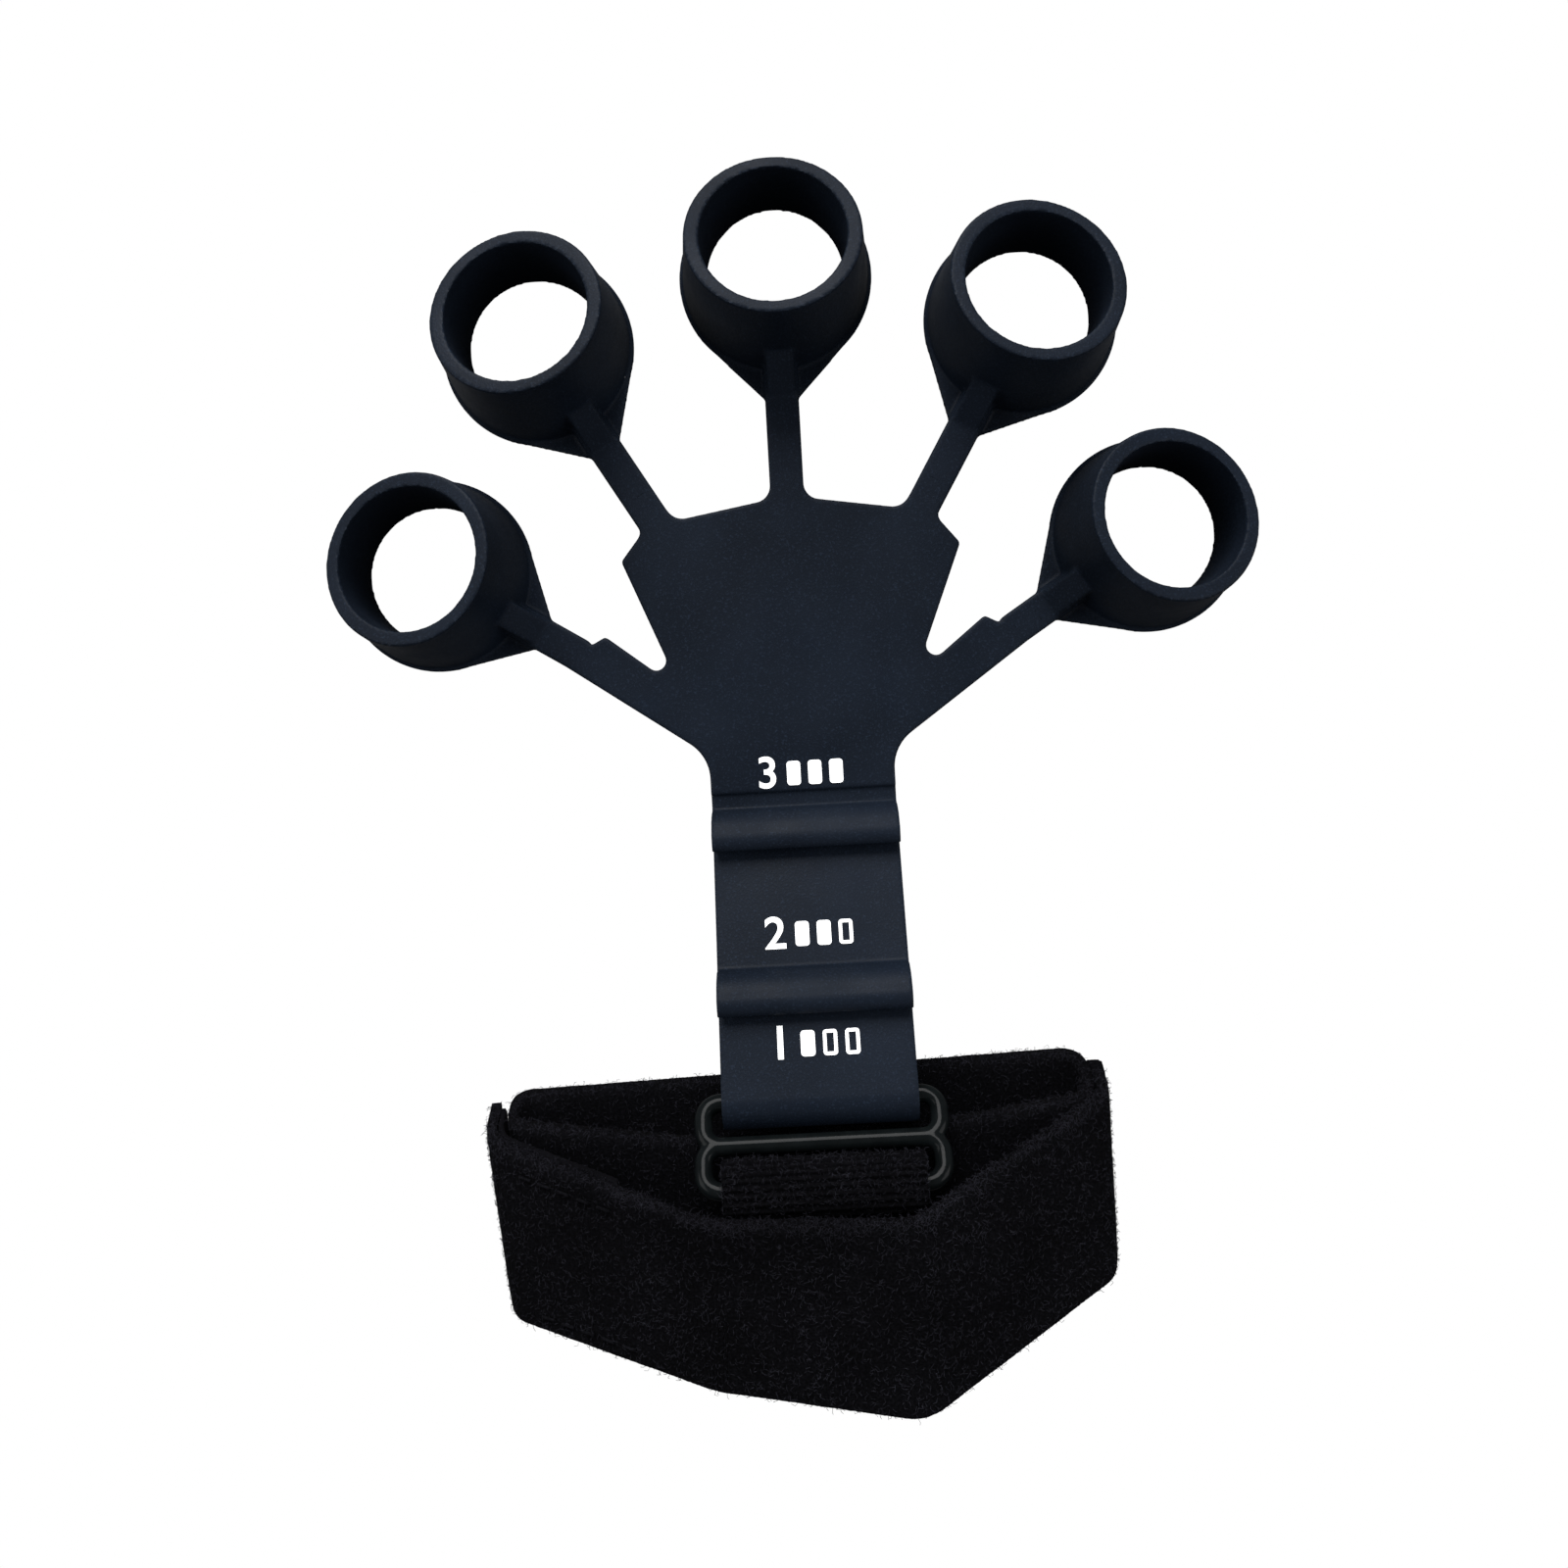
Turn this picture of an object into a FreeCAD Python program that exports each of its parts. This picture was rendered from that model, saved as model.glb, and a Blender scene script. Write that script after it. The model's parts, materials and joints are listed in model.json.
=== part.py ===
"""Finger exerciser: five finger loops on a palm pad, a ridged pull strap, a buckle and a wristband.

Millimetres. It lies on its back: +Z is up, the fingers point to +Y and the wristband is at -Y.
The origin is at the middle of the box that it fills, on the surface that it lies on.
"""

import FreeCAD, Part

import math
import os

V = FreeCAD.Vector

# Finger loops: a straight bore in a wall that widens towards the back, with a tilted front rim.
LOOP_BORE_D = 25.4
LOOP_FRONT_WALL = 2.6
LOOP_BACK_WALL = 5.1
LOOP_HEIGHT = 20.8  # from the back to the middle of the front rim
LOOP_RIM_TILT = 15.0  # degrees, the far side lower
LOOP_LIP_T = 1.2
LOOP_LIP_STEP = 0.6  # how far the lip stands proud of the wall

# Arms and the neck that carries a loop.
ARM_WIDTH = 6.2
PLATE_T = 3.6
NECK_RIB_WIDTH = 5.0
NECK_WEB_T = 1.4
NECK_WEB_SPREAD = 0.78  # half its width at the loop, as a part of the lip's radius
NECK_OVERLAP = 3.0  # how far the arm runs into the loop's wall
NECK_WEB_SETBACK = 1.0  # from where the arm stretches to the web's tip
NECK_RIB_SETBACK = 0.6
NECK_LENGTH = 5.6  # from the loop's wall to where the arm can stretch

# Loop centres and the reach from a centre to where its arm bends, per pair of fingers.
OUTER_LOOP = (65.7, 3.7)
OUTER_ARM_ANGLE = 32.4
OUTER_REACH = 27.5
UPPER_LOOP = (44.7, 44.7)
UPPER_ARM_ANGLE = 59.3
UPPER_REACH = 36.0
MIDDLE_LOOP_Y = 55.2
MIDDLE_REACH = 36.0

# Palm pad, the corners of its right-hand side: X, Y and the corner's radius.
PAD_TOP_Y = 13.9
PAD_CROOK_R = 3.0  # at the foot of the middle arm
PAD_SHOULDER = (20.9, 11.0, 3.2)
PAD_NOTCH = (27.0, 9.2, 1.8)
PAD_EAR = (31.2, 4.0, 1.0)
PAD_GULLET = (21.6, -20.1, 1.8)
PAD_STEP_TIP = (34.9, -9.6, 0.8)
PAD_STEP_FOOT = (37.5, -11.0, 0.8)
PAD_WAIST_Y = -32.6
PAD_WAIST_R = 8.0

# Pull strap with its ridges.
STRAP_WIDTH = 34.0
STRAP_T = 3.0
STRAP_HINGE_Y = -41.4
STRAP_BEND_Y = -43.2
STRAP_BEND_R = 8.0
STRAP_CUTS = (19.5, 40.6)  # along the rising run, where it may stretch and flex
RIDGE_STARTS = (0.0, 29.6)  # along the rising run
RIDGE_LENGTH = 8.8
RIDGE_HEIGHT = 4.2
# The ridge's profile, as parts of its length and height: up, over the crest and down to its lip.
RIDGE_RISE = (0.26, 0.72)
RIDGE_CREST = (0.62, 1.0)
RIDGE_FALL = (0.88, 0.93)
RIDGE_LIP = (1.0, 0.62)
HOOK_MOUTH = (-62.0, -20.0)  # degrees from +Y, the open part of the end roll
MARK_SIZE = (17.0, 6.0)
MARK_T = 0.12
MARK_GAP = 2.8  # from a mark to the ridge below it
MARK_INSET = 0.2  # from the first mark to the end of the pad
END_ROLL_LEAD = 3.2  # how far before the end of the run the roll begins to rise

# Buckle with three bars.
BAR_D = 3.2
BAR_PITCH = 7.6
BAR_STRAIGHT = STRAP_WIDTH + 1.0
BUCKLE_CORNER_R = 3.0
BUCKLE_RISE = 30.0  # degrees, from the strap's bar up to the wristband's
STRAP_BAR = (-93.6, 15.2)  # Y and Z of the bar that the strap hooks over

# Wristband, a closed loop with a flap over its top.
WEB_WIDTH = 31.5
WEB_T = 2.2
BAND_EDGE_Y = -91.5
BAND_LEAN = 33.2  # degrees, how far the loop leans away from the fingers
BAND_SKEW = 1.5  # degrees, how far the webbing's edges run off square
BAND_LEFT = -57.6
BAND_RIGHT = 49.5
BAND_TOP = 14.5
BAND_RIGHT_TOP = 11.0
BAND_LEFT_TOP = 8.0
BAND_END_R = 5.0
BAND_LEFT_R = 4.0
BAND_LEFT_FAR = -54.6  # the left end twists: at the webbing's far edge it lies lower and further in
BAND_LEFT_FAR_TOP = 5.5
BAND_LEFT_FAR_R = 2.4
BAND_EASE_R = 30.0  # where the top bends down beside the tab
BAND_FLAT = 3.0  # how far the level top runs past the tab
FLAP_CREST = (14.5, 30.3)
FLAP_BROW = (-20.0, 28.0)
FLAP_RADII = (5.0, 10.0, 25.0, 6.0)  # shoulder, crest, brow and the bend at the left
FLAP_SHOULDER_Z = 10.2
FLAP_LEFT_Z = 10.0
FLAP_TIP_Z = 2.5
# Heights of the same corners at the webbing's far edge.
FLAP_BROW_FAR_Z = 23.8
FLAP_LEFT_FAR_Z = 9.8
FLAP_TIP_FAR_Z = 2.4
FLAP_LEFT_FAR_R = 4.5
FLAP_ROOT_Z = 7.0
FLAP_STUB = 3.0  # the flap's fixed end, sewn to the loop
SEAM_DEPTH = 4.0  # how far the seam reaches under the flap
SEAM_R = 1.0
HOOK_PATCH_T = 1.0
HOOK_PATCH_LENGTH = 26.0
HOOK_PATCH_INSET = 1.0  # from the flap's tip

# Webbing tab that holds the buckle.
TAB_WIDTH = STRAP_WIDTH + 0.4
TAB_T = 1.8
TAB_TAIL = 20.0
TAB_BEND_R = 4.0
TAB_SLACK = 2.0  # how far the fold stands off the bar, towards the buckle's middle bar
# How far beyond the bar the lower tail and the upper tail come down, and where each leaves the bar.
TAB_FOOT = (4.5, 7.5)
TAB_LEAVE = (1.5, 2.4)
STITCH_D = 0.5
STITCH_LENGTH = 2.4
STITCH_PITCH = 4.0
STITCH_INSET = 3.0  # from the edge of the webbing to a row
TAB_ROW_PITCH = 7.0
FLAP_STITCHES = 5
FLAP_STITCH_START = 7.0  # from the bend at the left

# Clearances.
FLEX_GAP = 0.15  # where one rubber length bends or stretches away from the next
PIN_GAP = 0.08  # round a bar
LAYER_GAP = 0.1
FLAP_GAP = 0.35

DIRECTIONS = {
    "thumb": (-OUTER_LOOP[0], OUTER_LOOP[1], 180 - OUTER_ARM_ANGLE, OUTER_REACH),
    "index": (-UPPER_LOOP[0], UPPER_LOOP[1], 180 - UPPER_ARM_ANGLE, UPPER_REACH),
    "middle": (0.0, MIDDLE_LOOP_Y, 90.0, MIDDLE_REACH),
    "ring_finger": (UPPER_LOOP[0], UPPER_LOOP[1], UPPER_ARM_ANGLE, UPPER_REACH),
    "little": (OUTER_LOOP[0], OUTER_LOOP[1], OUTER_ARM_ANGLE, OUTER_REACH),
}

back_r = LOOP_BORE_D / 2 + LOOP_BACK_WALL
split_r = back_r + NECK_LENGTH
lean = math.tan(math.radians(BAND_LEAN))
skew = math.tan(math.radians(BAND_SKEW))
rise = math.radians(BUCKLE_RISE)
wrap_r = BAR_D / 2 + PIN_GAP
band_bar = (
    STRAP_BAR[0] - 2 * BAR_PITCH * math.cos(rise),
    STRAP_BAR[1] + 2 * BAR_PITCH * math.sin(rise),
)


# Sections: a path is a list of corners with a radius at each, and a strip follows it.


def unit(a, b):
    length = math.hypot(b[0] - a[0], b[1] - a[1])
    return ((b[0] - a[0]) / length, (b[1] - a[1]) / length)


def turn_between(d0, d1):
    """The signed turn from one direction to the next, anticlockwise above zero."""
    return math.atan2(d0[0] * d1[1] - d0[1] * d1[0], d0[0] * d1[0] + d0[1] * d1[1])


def offset_path(corners, radii, shift):
    """The path that runs this far to the left of an open path."""
    dirs = [unit(a, b) for a, b in zip(corners, corners[1:])]
    new, new_radii = [], []
    for i, (u, v) in enumerate(corners):
        d0 = dirs[max(i - 1, 0)]
        d1 = dirs[min(i, len(dirs) - 1)]
        turn = turn_between(d0, d1)
        mid = (-(d0[1] + d1[1]), d0[0] + d1[0])
        size = math.hypot(*mid)
        reach = shift / math.cos(turn / 2) / size
        new.append((u + mid[0] * reach, v + mid[1] * reach))
        grown = radii[i] - shift * math.copysign(1, turn)
        new_radii.append(max(grown, 0) if radii[i] else 0)
    return new, new_radii


def path_edges(corners, radii, place):
    """Straight runs joined by tangent arcs."""
    edges = []
    last = corners[0]
    for i in range(1, len(corners)):
        here = corners[i]
        if i == len(corners) - 1 or not radii[i]:
            if math.hypot(here[0] - last[0], here[1] - last[1]) > 1e-6:
                edges.append(Part.LineSegment(place(*last), place(*here)).toShape())
            last = here
            continue
        d0, d1 = unit(corners[i - 1], here), unit(here, corners[i + 1])
        turn = turn_between(d0, d1)
        run = radii[i] * math.tan(abs(turn) / 2)
        start = (here[0] - d0[0] * run, here[1] - d0[1] * run)
        end = (here[0] + d1[0] * run, here[1] + d1[1] * run)
        inward = unit((0, 0), (d1[0] - d0[0], d1[1] - d0[1]))
        sag = radii[i] / math.cos(turn / 2) - radii[i]
        middle = (here[0] + inward[0] * sag, here[1] + inward[1] * sag)
        if math.hypot(start[0] - last[0], start[1] - last[1]) > 1e-6:
            edges.append(Part.LineSegment(place(*last), place(*start)).toShape())
        edges.append(Part.Arc(place(*start), place(*middle), place(*end)).toShape())
        last = end
    return edges


def closed_face(corners, radii, place):
    """A face inside a closed path, which starts and ends at a square corner."""
    edges = path_edges(corners + corners[:1], radii + [0], place)
    return Part.Face(Part.Wire(Part.__sortEdges__(edges)))


def strip_face(corners, radii, low, high, place):
    """A face between two offsets of an open path."""
    a, ra = offset_path(corners, radii, high)
    b, rb = offset_path(corners, radii, low)
    edges = path_edges(a, ra, place) + path_edges(b, rb, place)
    edges.append(Part.LineSegment(place(*a[0]), place(*b[0])).toShape())
    edges.append(Part.LineSegment(place(*a[-1]), place(*b[-1])).toShape())
    return Part.Face(Part.Wire(Part.__sortEdges__(edges)))


def on_plate(x, y):
    return V(x, y, 0)


def across(width):
    """Places a YZ section at the left side of a strap this wide."""
    return lambda y, z: V(-width / 2, y, z)


def box_between(low, high):
    return Part.makeBox(high[0] - low[0], high[1] - low[1], high[2] - low[2], V(*low))


def cylinder_x(radius, y, z, width):
    return Part.makeCylinder(radius, width, V(-width / 2, y, z), V(1, 0, 0))


# Fingers. Each is built along +X from its hinge and then turned to its direction.


def place_finger(shape, finger):
    """Moves a shape whose loop centre is at the origin, outwards along +X, to its finger."""
    x, y, angle, _ = DIRECTIONS[finger]
    shape.rotate(V(0, 0, 0), V(0, 0, 1), angle)
    shape.translate(V(x, y, 0))
    return shape


def arm(finger):
    """The inner length of an arm, round at the end where it bends."""
    reach = DIRECTIONS[finger][3]
    half = ARM_WIDTH / 2
    body = box_between((-reach, -half, 0), (-split_r - FLEX_GAP, half, PLATE_T))
    knuckle = Part.makeCylinder(PLATE_T / 2, ARM_WIDTH, V(-reach, -half, PLATE_T / 2), V(0, 1, 0))
    return place_finger(body.fuse(knuckle).removeSplitter(), finger)


def loop_wall():
    """The tapered wall, from the lip at the back to the tilted front rim."""
    front_r = LOOP_BORE_D / 2 + LOOP_FRONT_WALL
    tilt = math.radians(LOOP_RIM_TILT)
    foot = Part.Wire(Part.makeCircle(back_r - LOOP_LIP_STEP, V(0, 0, LOOP_LIP_T / 2)))
    facing = V(math.sin(tilt), 0, math.cos(tilt))
    rim = Part.Wire(Part.makeCircle(front_r, V(0, 0, LOOP_HEIGHT), facing))
    wall = Part.makeLoft([foot, rim], True, True)
    lip = Part.makeCylinder(back_r, LOOP_LIP_T)
    return wall.fuse(lip)


def neck():
    """The rib up the wall, the thin web at the back and the outer length of the arm."""
    half = ARM_WIDTH / 2
    length = box_between((-split_r, -half, 0), (-back_r + NECK_OVERLAP, half, PLATE_T))
    web_out = back_r * NECK_WEB_SPREAD
    web_in = math.sqrt(back_r**2 - web_out**2)
    web_tip = -split_r + NECK_WEB_SETBACK
    outline = [(web_tip, -half), (-web_in, -web_out), (-web_in, web_out), (web_tip, half)]
    web = Part.Face(Part.makePolygon([V(x, y, 0) for x, y in outline + outline[:1]]))
    web = web.extrude(V(0, 0, NECK_WEB_T))
    foot, wall_x = -split_r + NECK_RIB_SETBACK, -back_r + LOOP_LIP_STEP
    taper = (LOOP_BACK_WALL - LOOP_FRONT_WALL) / 2
    side = [
        (foot, 0),
        (foot, PLATE_T),
        (wall_x + taper, LOOP_HEIGHT / 2),
        (wall_x + 2 * taper, 0),
    ]
    rib = Part.Face(Part.makePolygon([V(x, -NECK_RIB_WIDTH / 2, z) for x, z in side + side[:1]]))
    rib = rib.extrude(V(0, NECK_RIB_WIDTH, 0))
    return length.fuse([web, rib])


def loop(finger):
    """A finger loop with its neck."""
    shape = loop_wall().fuse(neck())
    bore = Part.makeCylinder(LOOP_BORE_D / 2, 3 * LOOP_HEIGHT, V(0, 0, -LOOP_HEIGHT))
    return place_finger(shape.cut(bore).removeSplitter(), finger)


# Palm pad.


def stub_corners(finger):
    """The two corners of the pad where an arm begins, left one first as seen from the pad."""
    x, y, angle, reach = DIRECTIONS[finger]
    a = math.radians(angle)
    back = reach + PLATE_T / 2 + FLEX_GAP
    u, v = x - back * math.cos(a), y - back * math.sin(a)
    half = ARM_WIDTH / 2
    left = (u - half * math.sin(a), v + half * math.cos(a))
    right = (u + half * math.sin(a), v - half * math.cos(a))
    return left, right


def palm_pad():
    """The flat pad with its ears, its thumb roots and a short stub for each arm and the strap."""
    middle_y = stub_corners("middle")[0][1]
    upper_in, upper_out = stub_corners("ring_finger")
    outer_in, outer_out = stub_corners("little")
    strap_end = STRAP_HINGE_Y + STRAP_T / 2 + FLEX_GAP
    half_strap = STRAP_WIDTH / 2
    right = [
        (ARM_WIDTH / 2, middle_y, 0),
        (ARM_WIDTH / 2, PAD_TOP_Y, PAD_CROOK_R),
        PAD_SHOULDER,
        (*upper_in, 0),
        (*upper_out, 0),
        PAD_NOTCH,
        PAD_EAR,
        PAD_GULLET,
        PAD_STEP_TIP,
        PAD_STEP_FOOT,
        (*outer_in, 0),
        (*outer_out, 0),
        (half_strap, PAD_WAIST_Y, PAD_WAIST_R),
        (half_strap, strap_end, 0),
    ]
    left = [(-x, y, r) for x, y, r in reversed(right)]
    outline = right + left
    face = closed_face([(x, y) for x, y, _ in outline], [r for _, _, r in outline], on_plate)
    return face.extrude(V(0, 0, PLATE_T))


# Pull strap. Its rising run is a straight line, tangent to the roll over the buckle's bar.


def strap_run():
    """Where the rising run starts and ends, and its angle."""
    middle = wrap_r + STRAP_T / 2
    dy, dz = STRAP_BEND_Y - STRAP_BAR[0], STRAP_BAR[1] - STRAP_T / 2
    angle = math.atan2(dz, dy) + math.asin(middle / math.hypot(dy, dz))
    end = (STRAP_BAR[0] + middle * math.sin(angle), STRAP_BAR[1] + middle * math.cos(angle))
    return (STRAP_BEND_Y, STRAP_T / 2), end, angle


def along(distance, height=0.0):
    """A point this far up the rising run and this high over its middle line, as Y and Z."""
    start, _, angle = strap_run()
    c, s = math.cos(angle), math.sin(angle)
    return (start[0] - distance * c + height * s, start[1] + distance * s + height * c)


def run_length():
    start, end, _ = strap_run()
    return math.hypot(end[0] - start[0], end[1] - start[1])


def strap_length(corners, radii):
    face = strip_face(corners, radii, -STRAP_T / 2, STRAP_T / 2, across(STRAP_WIDTH))
    return face.extrude(V(STRAP_WIDTH, 0, 0))


def knuckle_x(y, z):
    """The round end of a strap length, where it bends."""
    return cylinder_x(STRAP_T / 2, y, z, STRAP_WIDTH)


def ridge(start):
    """A half-round hook across the strap, hollow on the side towards the wristband."""
    top = STRAP_T / 2
    sunk = -top / RIDGE_HEIGHT

    def at(profile):
        point = along(start + RIDGE_LENGTH * profile[0], top + RIDGE_HEIGHT * profile[1])
        return V(-STRAP_WIDTH / 2, *point)

    foot, heel = at((0, sunk)), at((RIDGE_LIP[0], sunk))
    edges = [
        Part.LineSegment(foot, at((0, 0))).toShape(),
        Part.Arc(at((0, 0)), at(RIDGE_RISE), at(RIDGE_CREST)).toShape(),
        Part.Arc(at(RIDGE_CREST), at(RIDGE_FALL), at(RIDGE_LIP)).toShape(),
        Part.LineSegment(at(RIDGE_LIP), heel).toShape(),
        Part.LineSegment(heel, foot).toShape(),
    ]
    hump = Part.Face(Part.Wire(edges)).extrude(V(STRAP_WIDTH, 0, 0))
    middle = along(start + RIDGE_LENGTH, top + wrap_r / 2)
    groove = cylinder_x(wrap_r, *middle, 2 * STRAP_WIDTH)
    return hump.cut(groove.cut(below_the_run()))


def below_the_run():
    """Everything under the top face of the rising run."""
    far = 2 * run_length()
    top = STRAP_T / 2
    corners = [along(-far, top), along(far, top), along(far, -far), along(-far, -far)]
    wire = Part.makePolygon([V(-2 * STRAP_WIDTH, y, z) for y, z in corners + corners[:1]])
    return Part.Face(wire).extrude(V(4 * STRAP_WIDTH, 0, 0))


def strap_root():
    """From the pad's hinge round the bend, with the first ridge."""
    end = along(STRAP_CUTS[0] - FLEX_GAP)
    corners = [(STRAP_HINGE_Y, STRAP_T / 2), (STRAP_BEND_Y, STRAP_T / 2), end]
    body = strap_length(corners, [0, STRAP_BEND_R, 0])
    return body.fuse([knuckle_x(STRAP_HINGE_Y, STRAP_T / 2), ridge(RIDGE_STARTS[0])]).removeSplitter()


def strap_middle():
    """The length with the second ridge."""
    end = along(STRAP_CUTS[1] - STRAP_T / 2 - FLEX_GAP)
    body = strap_length([along(STRAP_CUTS[0]), end], [0, 0])
    return body.fuse(ridge(RIDGE_STARTS[1])).removeSplitter()


def strap_hook():
    """The end of the strap, rolled over the buckle's bar."""
    body = strap_length([along(STRAP_CUTS[1]), along(run_length())], [0, 0])
    y, z = STRAP_BAR
    roll = cylinder_x(wrap_r + STRAP_T, y, z, STRAP_WIDTH)
    shape = body.fuse([roll, knuckle_x(*along(STRAP_CUTS[1]))])
    hole = cylinder_x(wrap_r, y, z, 2 * STRAP_WIDTH)
    return shape.cut([hole, hook_mouth(y, z)]).removeSplitter()


def hook_mouth(y, z):
    """The open part of the roll, on the side towards the fingers and below."""
    far = 2 * (wrap_r + STRAP_T)
    low, high = (math.radians(a) for a in HOOK_MOUTH)
    corners = [
        (y, z),
        (y + far * math.cos(low), z + far * math.sin(low)),
        (y + far * math.cos(high), z + far * math.sin(high)),
    ]
    wire = Part.makePolygon([V(-STRAP_WIDTH, u, w) for u, w in corners + corners[:1]])
    return Part.Face(wire).extrude(V(2 * STRAP_WIDTH, 0, 0))


def level_mark(distance):
    """A printed mark that ends this far up the rising run."""
    angle = strap_run()[2]
    pad = Part.makeBox(MARK_SIZE[0], MARK_SIZE[1], MARK_T, V(-MARK_SIZE[0] / 2, 0, 0))
    pad.rotate(V(0, 0, 0), V(1, 0, 0), -math.degrees(angle))
    y, z = along(distance, STRAP_T / 2)
    pad.translate(V(0, y, z))
    return pad


def flat_mark():
    """The mark above the first ridge, on the flat of the pad."""
    y = STRAP_HINGE_Y + STRAP_T / 2 + FLEX_GAP + MARK_INSET
    return Part.makeBox(MARK_SIZE[0], MARK_SIZE[1], MARK_T, V(-MARK_SIZE[0] / 2, y, PLATE_T))


# Buckle.


def buckle():
    """Three round bars joined at their ends by rounded sides, in a plane that rises to the wristband."""
    half = BAR_STRAIGHT / 2
    r = BUCKLE_CORNER_R
    side = half + r
    shapes = []
    for i in range(3):
        bar = Part.makeCylinder(BAR_D / 2, BAR_STRAIGHT, V(-half, -i * BAR_PITCH, 0), V(1, 0, 0))
        shapes.append(bar)
    for sign in (-1, 1):
        for top in (0, -BAR_PITCH):
            low = top - BAR_PITCH
            shapes.append(elbow(sign * half, top - r, r, sign, 1))
            shapes.append(elbow(sign * half, low + r, r, sign, -1))
            foot = V(sign * side, low + r, 0)
            shapes.append(Part.makeCylinder(BAR_D / 2, BAR_PITCH - 2 * r, foot, V(0, 1, 0)))
    shape = shapes[0].fuse(shapes[1:]).removeSplitter()
    shape.rotate(V(0, 0, 0), V(1, 0, 0), -BUCKLE_RISE)
    shape.translate(V(0, *STRAP_BAR))
    return shape


def elbow(x, y, radius, side, up):
    """A quarter bend of the bar about this centre."""
    circle = Part.makeCircle(BAR_D / 2, V(x, y + up * radius, 0), V(1, 0, 0))
    face = Part.Face(Part.Wire(circle))
    return face.revolve(V(x, y, 0), V(0, 0, -side * up), 90)


# Webbing tab round the buckle's last bar.


def webbing_tab():
    """One length of webbing folded round the bar, its two tails one on the other."""
    y, z = band_bar
    middle = wrap_r + TAB_T / 2
    low = BAND_TOP + TAB_T / 2
    high = low + TAB_T + LAYER_GAP
    tail = y - middle - TAB_TAIL
    corners = [
        (tail, low),
        (y - middle - TAB_FOOT[0], low),
        (y - TAB_LEAVE[0], z - middle),
        (y + middle + TAB_SLACK, z - middle),
        (y + middle + TAB_SLACK, z + middle),
        (y - TAB_LEAVE[1], z + middle),
        (y - middle - TAB_FOOT[1], high),
        (tail, high),
    ]
    r = TAB_BEND_R
    radii = [0, r, r, middle, middle, r, r, 0]
    face = strip_face(corners, radii, -TAB_T / 2, TAB_T / 2, across(TAB_WIDTH))
    return face.extrude(V(TAB_WIDTH, 0, 0))


def stitch_row(x0, x1, y, z):
    """Straight stitches in a row along X, lying on the face at this height."""
    count = int((x1 - x0) / STITCH_PITCH)
    start = (x0 + x1) / 2 - (count - 1) * STITCH_PITCH / 2 - STITCH_LENGTH / 2
    stitches = []
    for i in range(count):
        foot = V(start + i * STITCH_PITCH, y, z + STITCH_D / 2)
        stitches.append(Part.makeCylinder(STITCH_D / 2, STITCH_LENGTH, foot, V(1, 0, 0)))
    return stitches


def tab_stitches():
    """Two rows of thread that hold the tails to the wristband."""
    tail = band_bar[0] - wrap_r - TAB_T / 2 - TAB_TAIL
    top = BAND_TOP + 2 * TAB_T + LAYER_GAP
    end = TAB_WIDTH / 2 - STITCH_INSET
    rows = []
    for row in range(2):
        rows += stitch_row(-end, end, tail + STITCH_INSET + row * TAB_ROW_PITCH, top)
    return Part.makeCompound(rows)


# Wristband. Its section in XZ is extruded along Y and cut along two leaning planes.


def leaning_slab():
    """The space between the two edges of the webbing."""
    top = 3 * FLAP_CREST[1]
    low, high = BAND_EDGE_Y, BAND_EDGE_Y - WEB_WIDTH
    corners = [
        (low + lean * top, -top),
        (low - lean * top, top),
        (high - lean * top, top),
        (high + lean * top, -top),
    ]
    start, end = 2 * BAND_LEFT, 2 * BAND_RIGHT
    wire = Part.makePolygon([V(start, y + skew * start, z) for y, z in corners + corners[:1]])
    return Part.Face(wire).extrude(V(end - start, skew * (end - start), 0))


def lean_cut(face):
    """A section extruded through the webbing's width and trimmed to its edges."""
    return face.extrude(V(0, 4 * WEB_WIDTH, 0)).common(leaning_slab())


def in_section(x, z):
    return V(x, BAND_EDGE_Y - 3 * WEB_WIDTH, z)


def at_edge(far):
    """Places a section in the leaning plane of the webbing's near edge or its far edge."""
    start = BAND_EDGE_Y - (WEB_WIDTH if far else 0)
    return lambda x, z: V(x, start + skew * x - lean * z, z)


def between_edges(wire_at):
    """A solid from a section at the near edge to the one at the far edge."""
    return Part.makeLoft([wire_at(False), wire_at(True)], True, True)


def band_section(far=False):
    """The loop's outer corners and radii."""
    flat = TAB_WIDTH / 2 + BAND_FLAT
    left, left_top, left_r = BAND_LEFT, BAND_LEFT_TOP, BAND_LEFT_R
    if far:
        left, left_top, left_r = BAND_LEFT_FAR, BAND_LEFT_FAR_TOP, BAND_LEFT_FAR_R
    corners = [
        (0, 0),
        (BAND_RIGHT, 0),
        (BAND_RIGHT, BAND_RIGHT_TOP),
        (flat, BAND_TOP),
        (-flat, BAND_TOP),
        (left, left_top),
        (left, 0),
    ]
    return corners, [0, BAND_END_R, BAND_END_R, BAND_EASE_R, BAND_EASE_R, left_r, left_r]


def band_hole(far):
    """The corners and radii of the space inside the loop."""
    corners, radii = band_section(far)
    inner, inner_radii = offset_path(corners + corners[:1], radii + [0], WEB_T)
    return inner[:-1], inner_radii[:-1]


def band_outside():
    """The space inside the loop's outer face."""
    return between_edges(lambda far: closed_face(*band_section(far), at_edge(far)).OuterWire)


def wristband():
    """The closed loop of webbing."""
    hole = between_edges(lambda far: closed_face(*band_hole(far), at_edge(far)).OuterWire)
    return band_outside().cut(hole)


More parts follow.
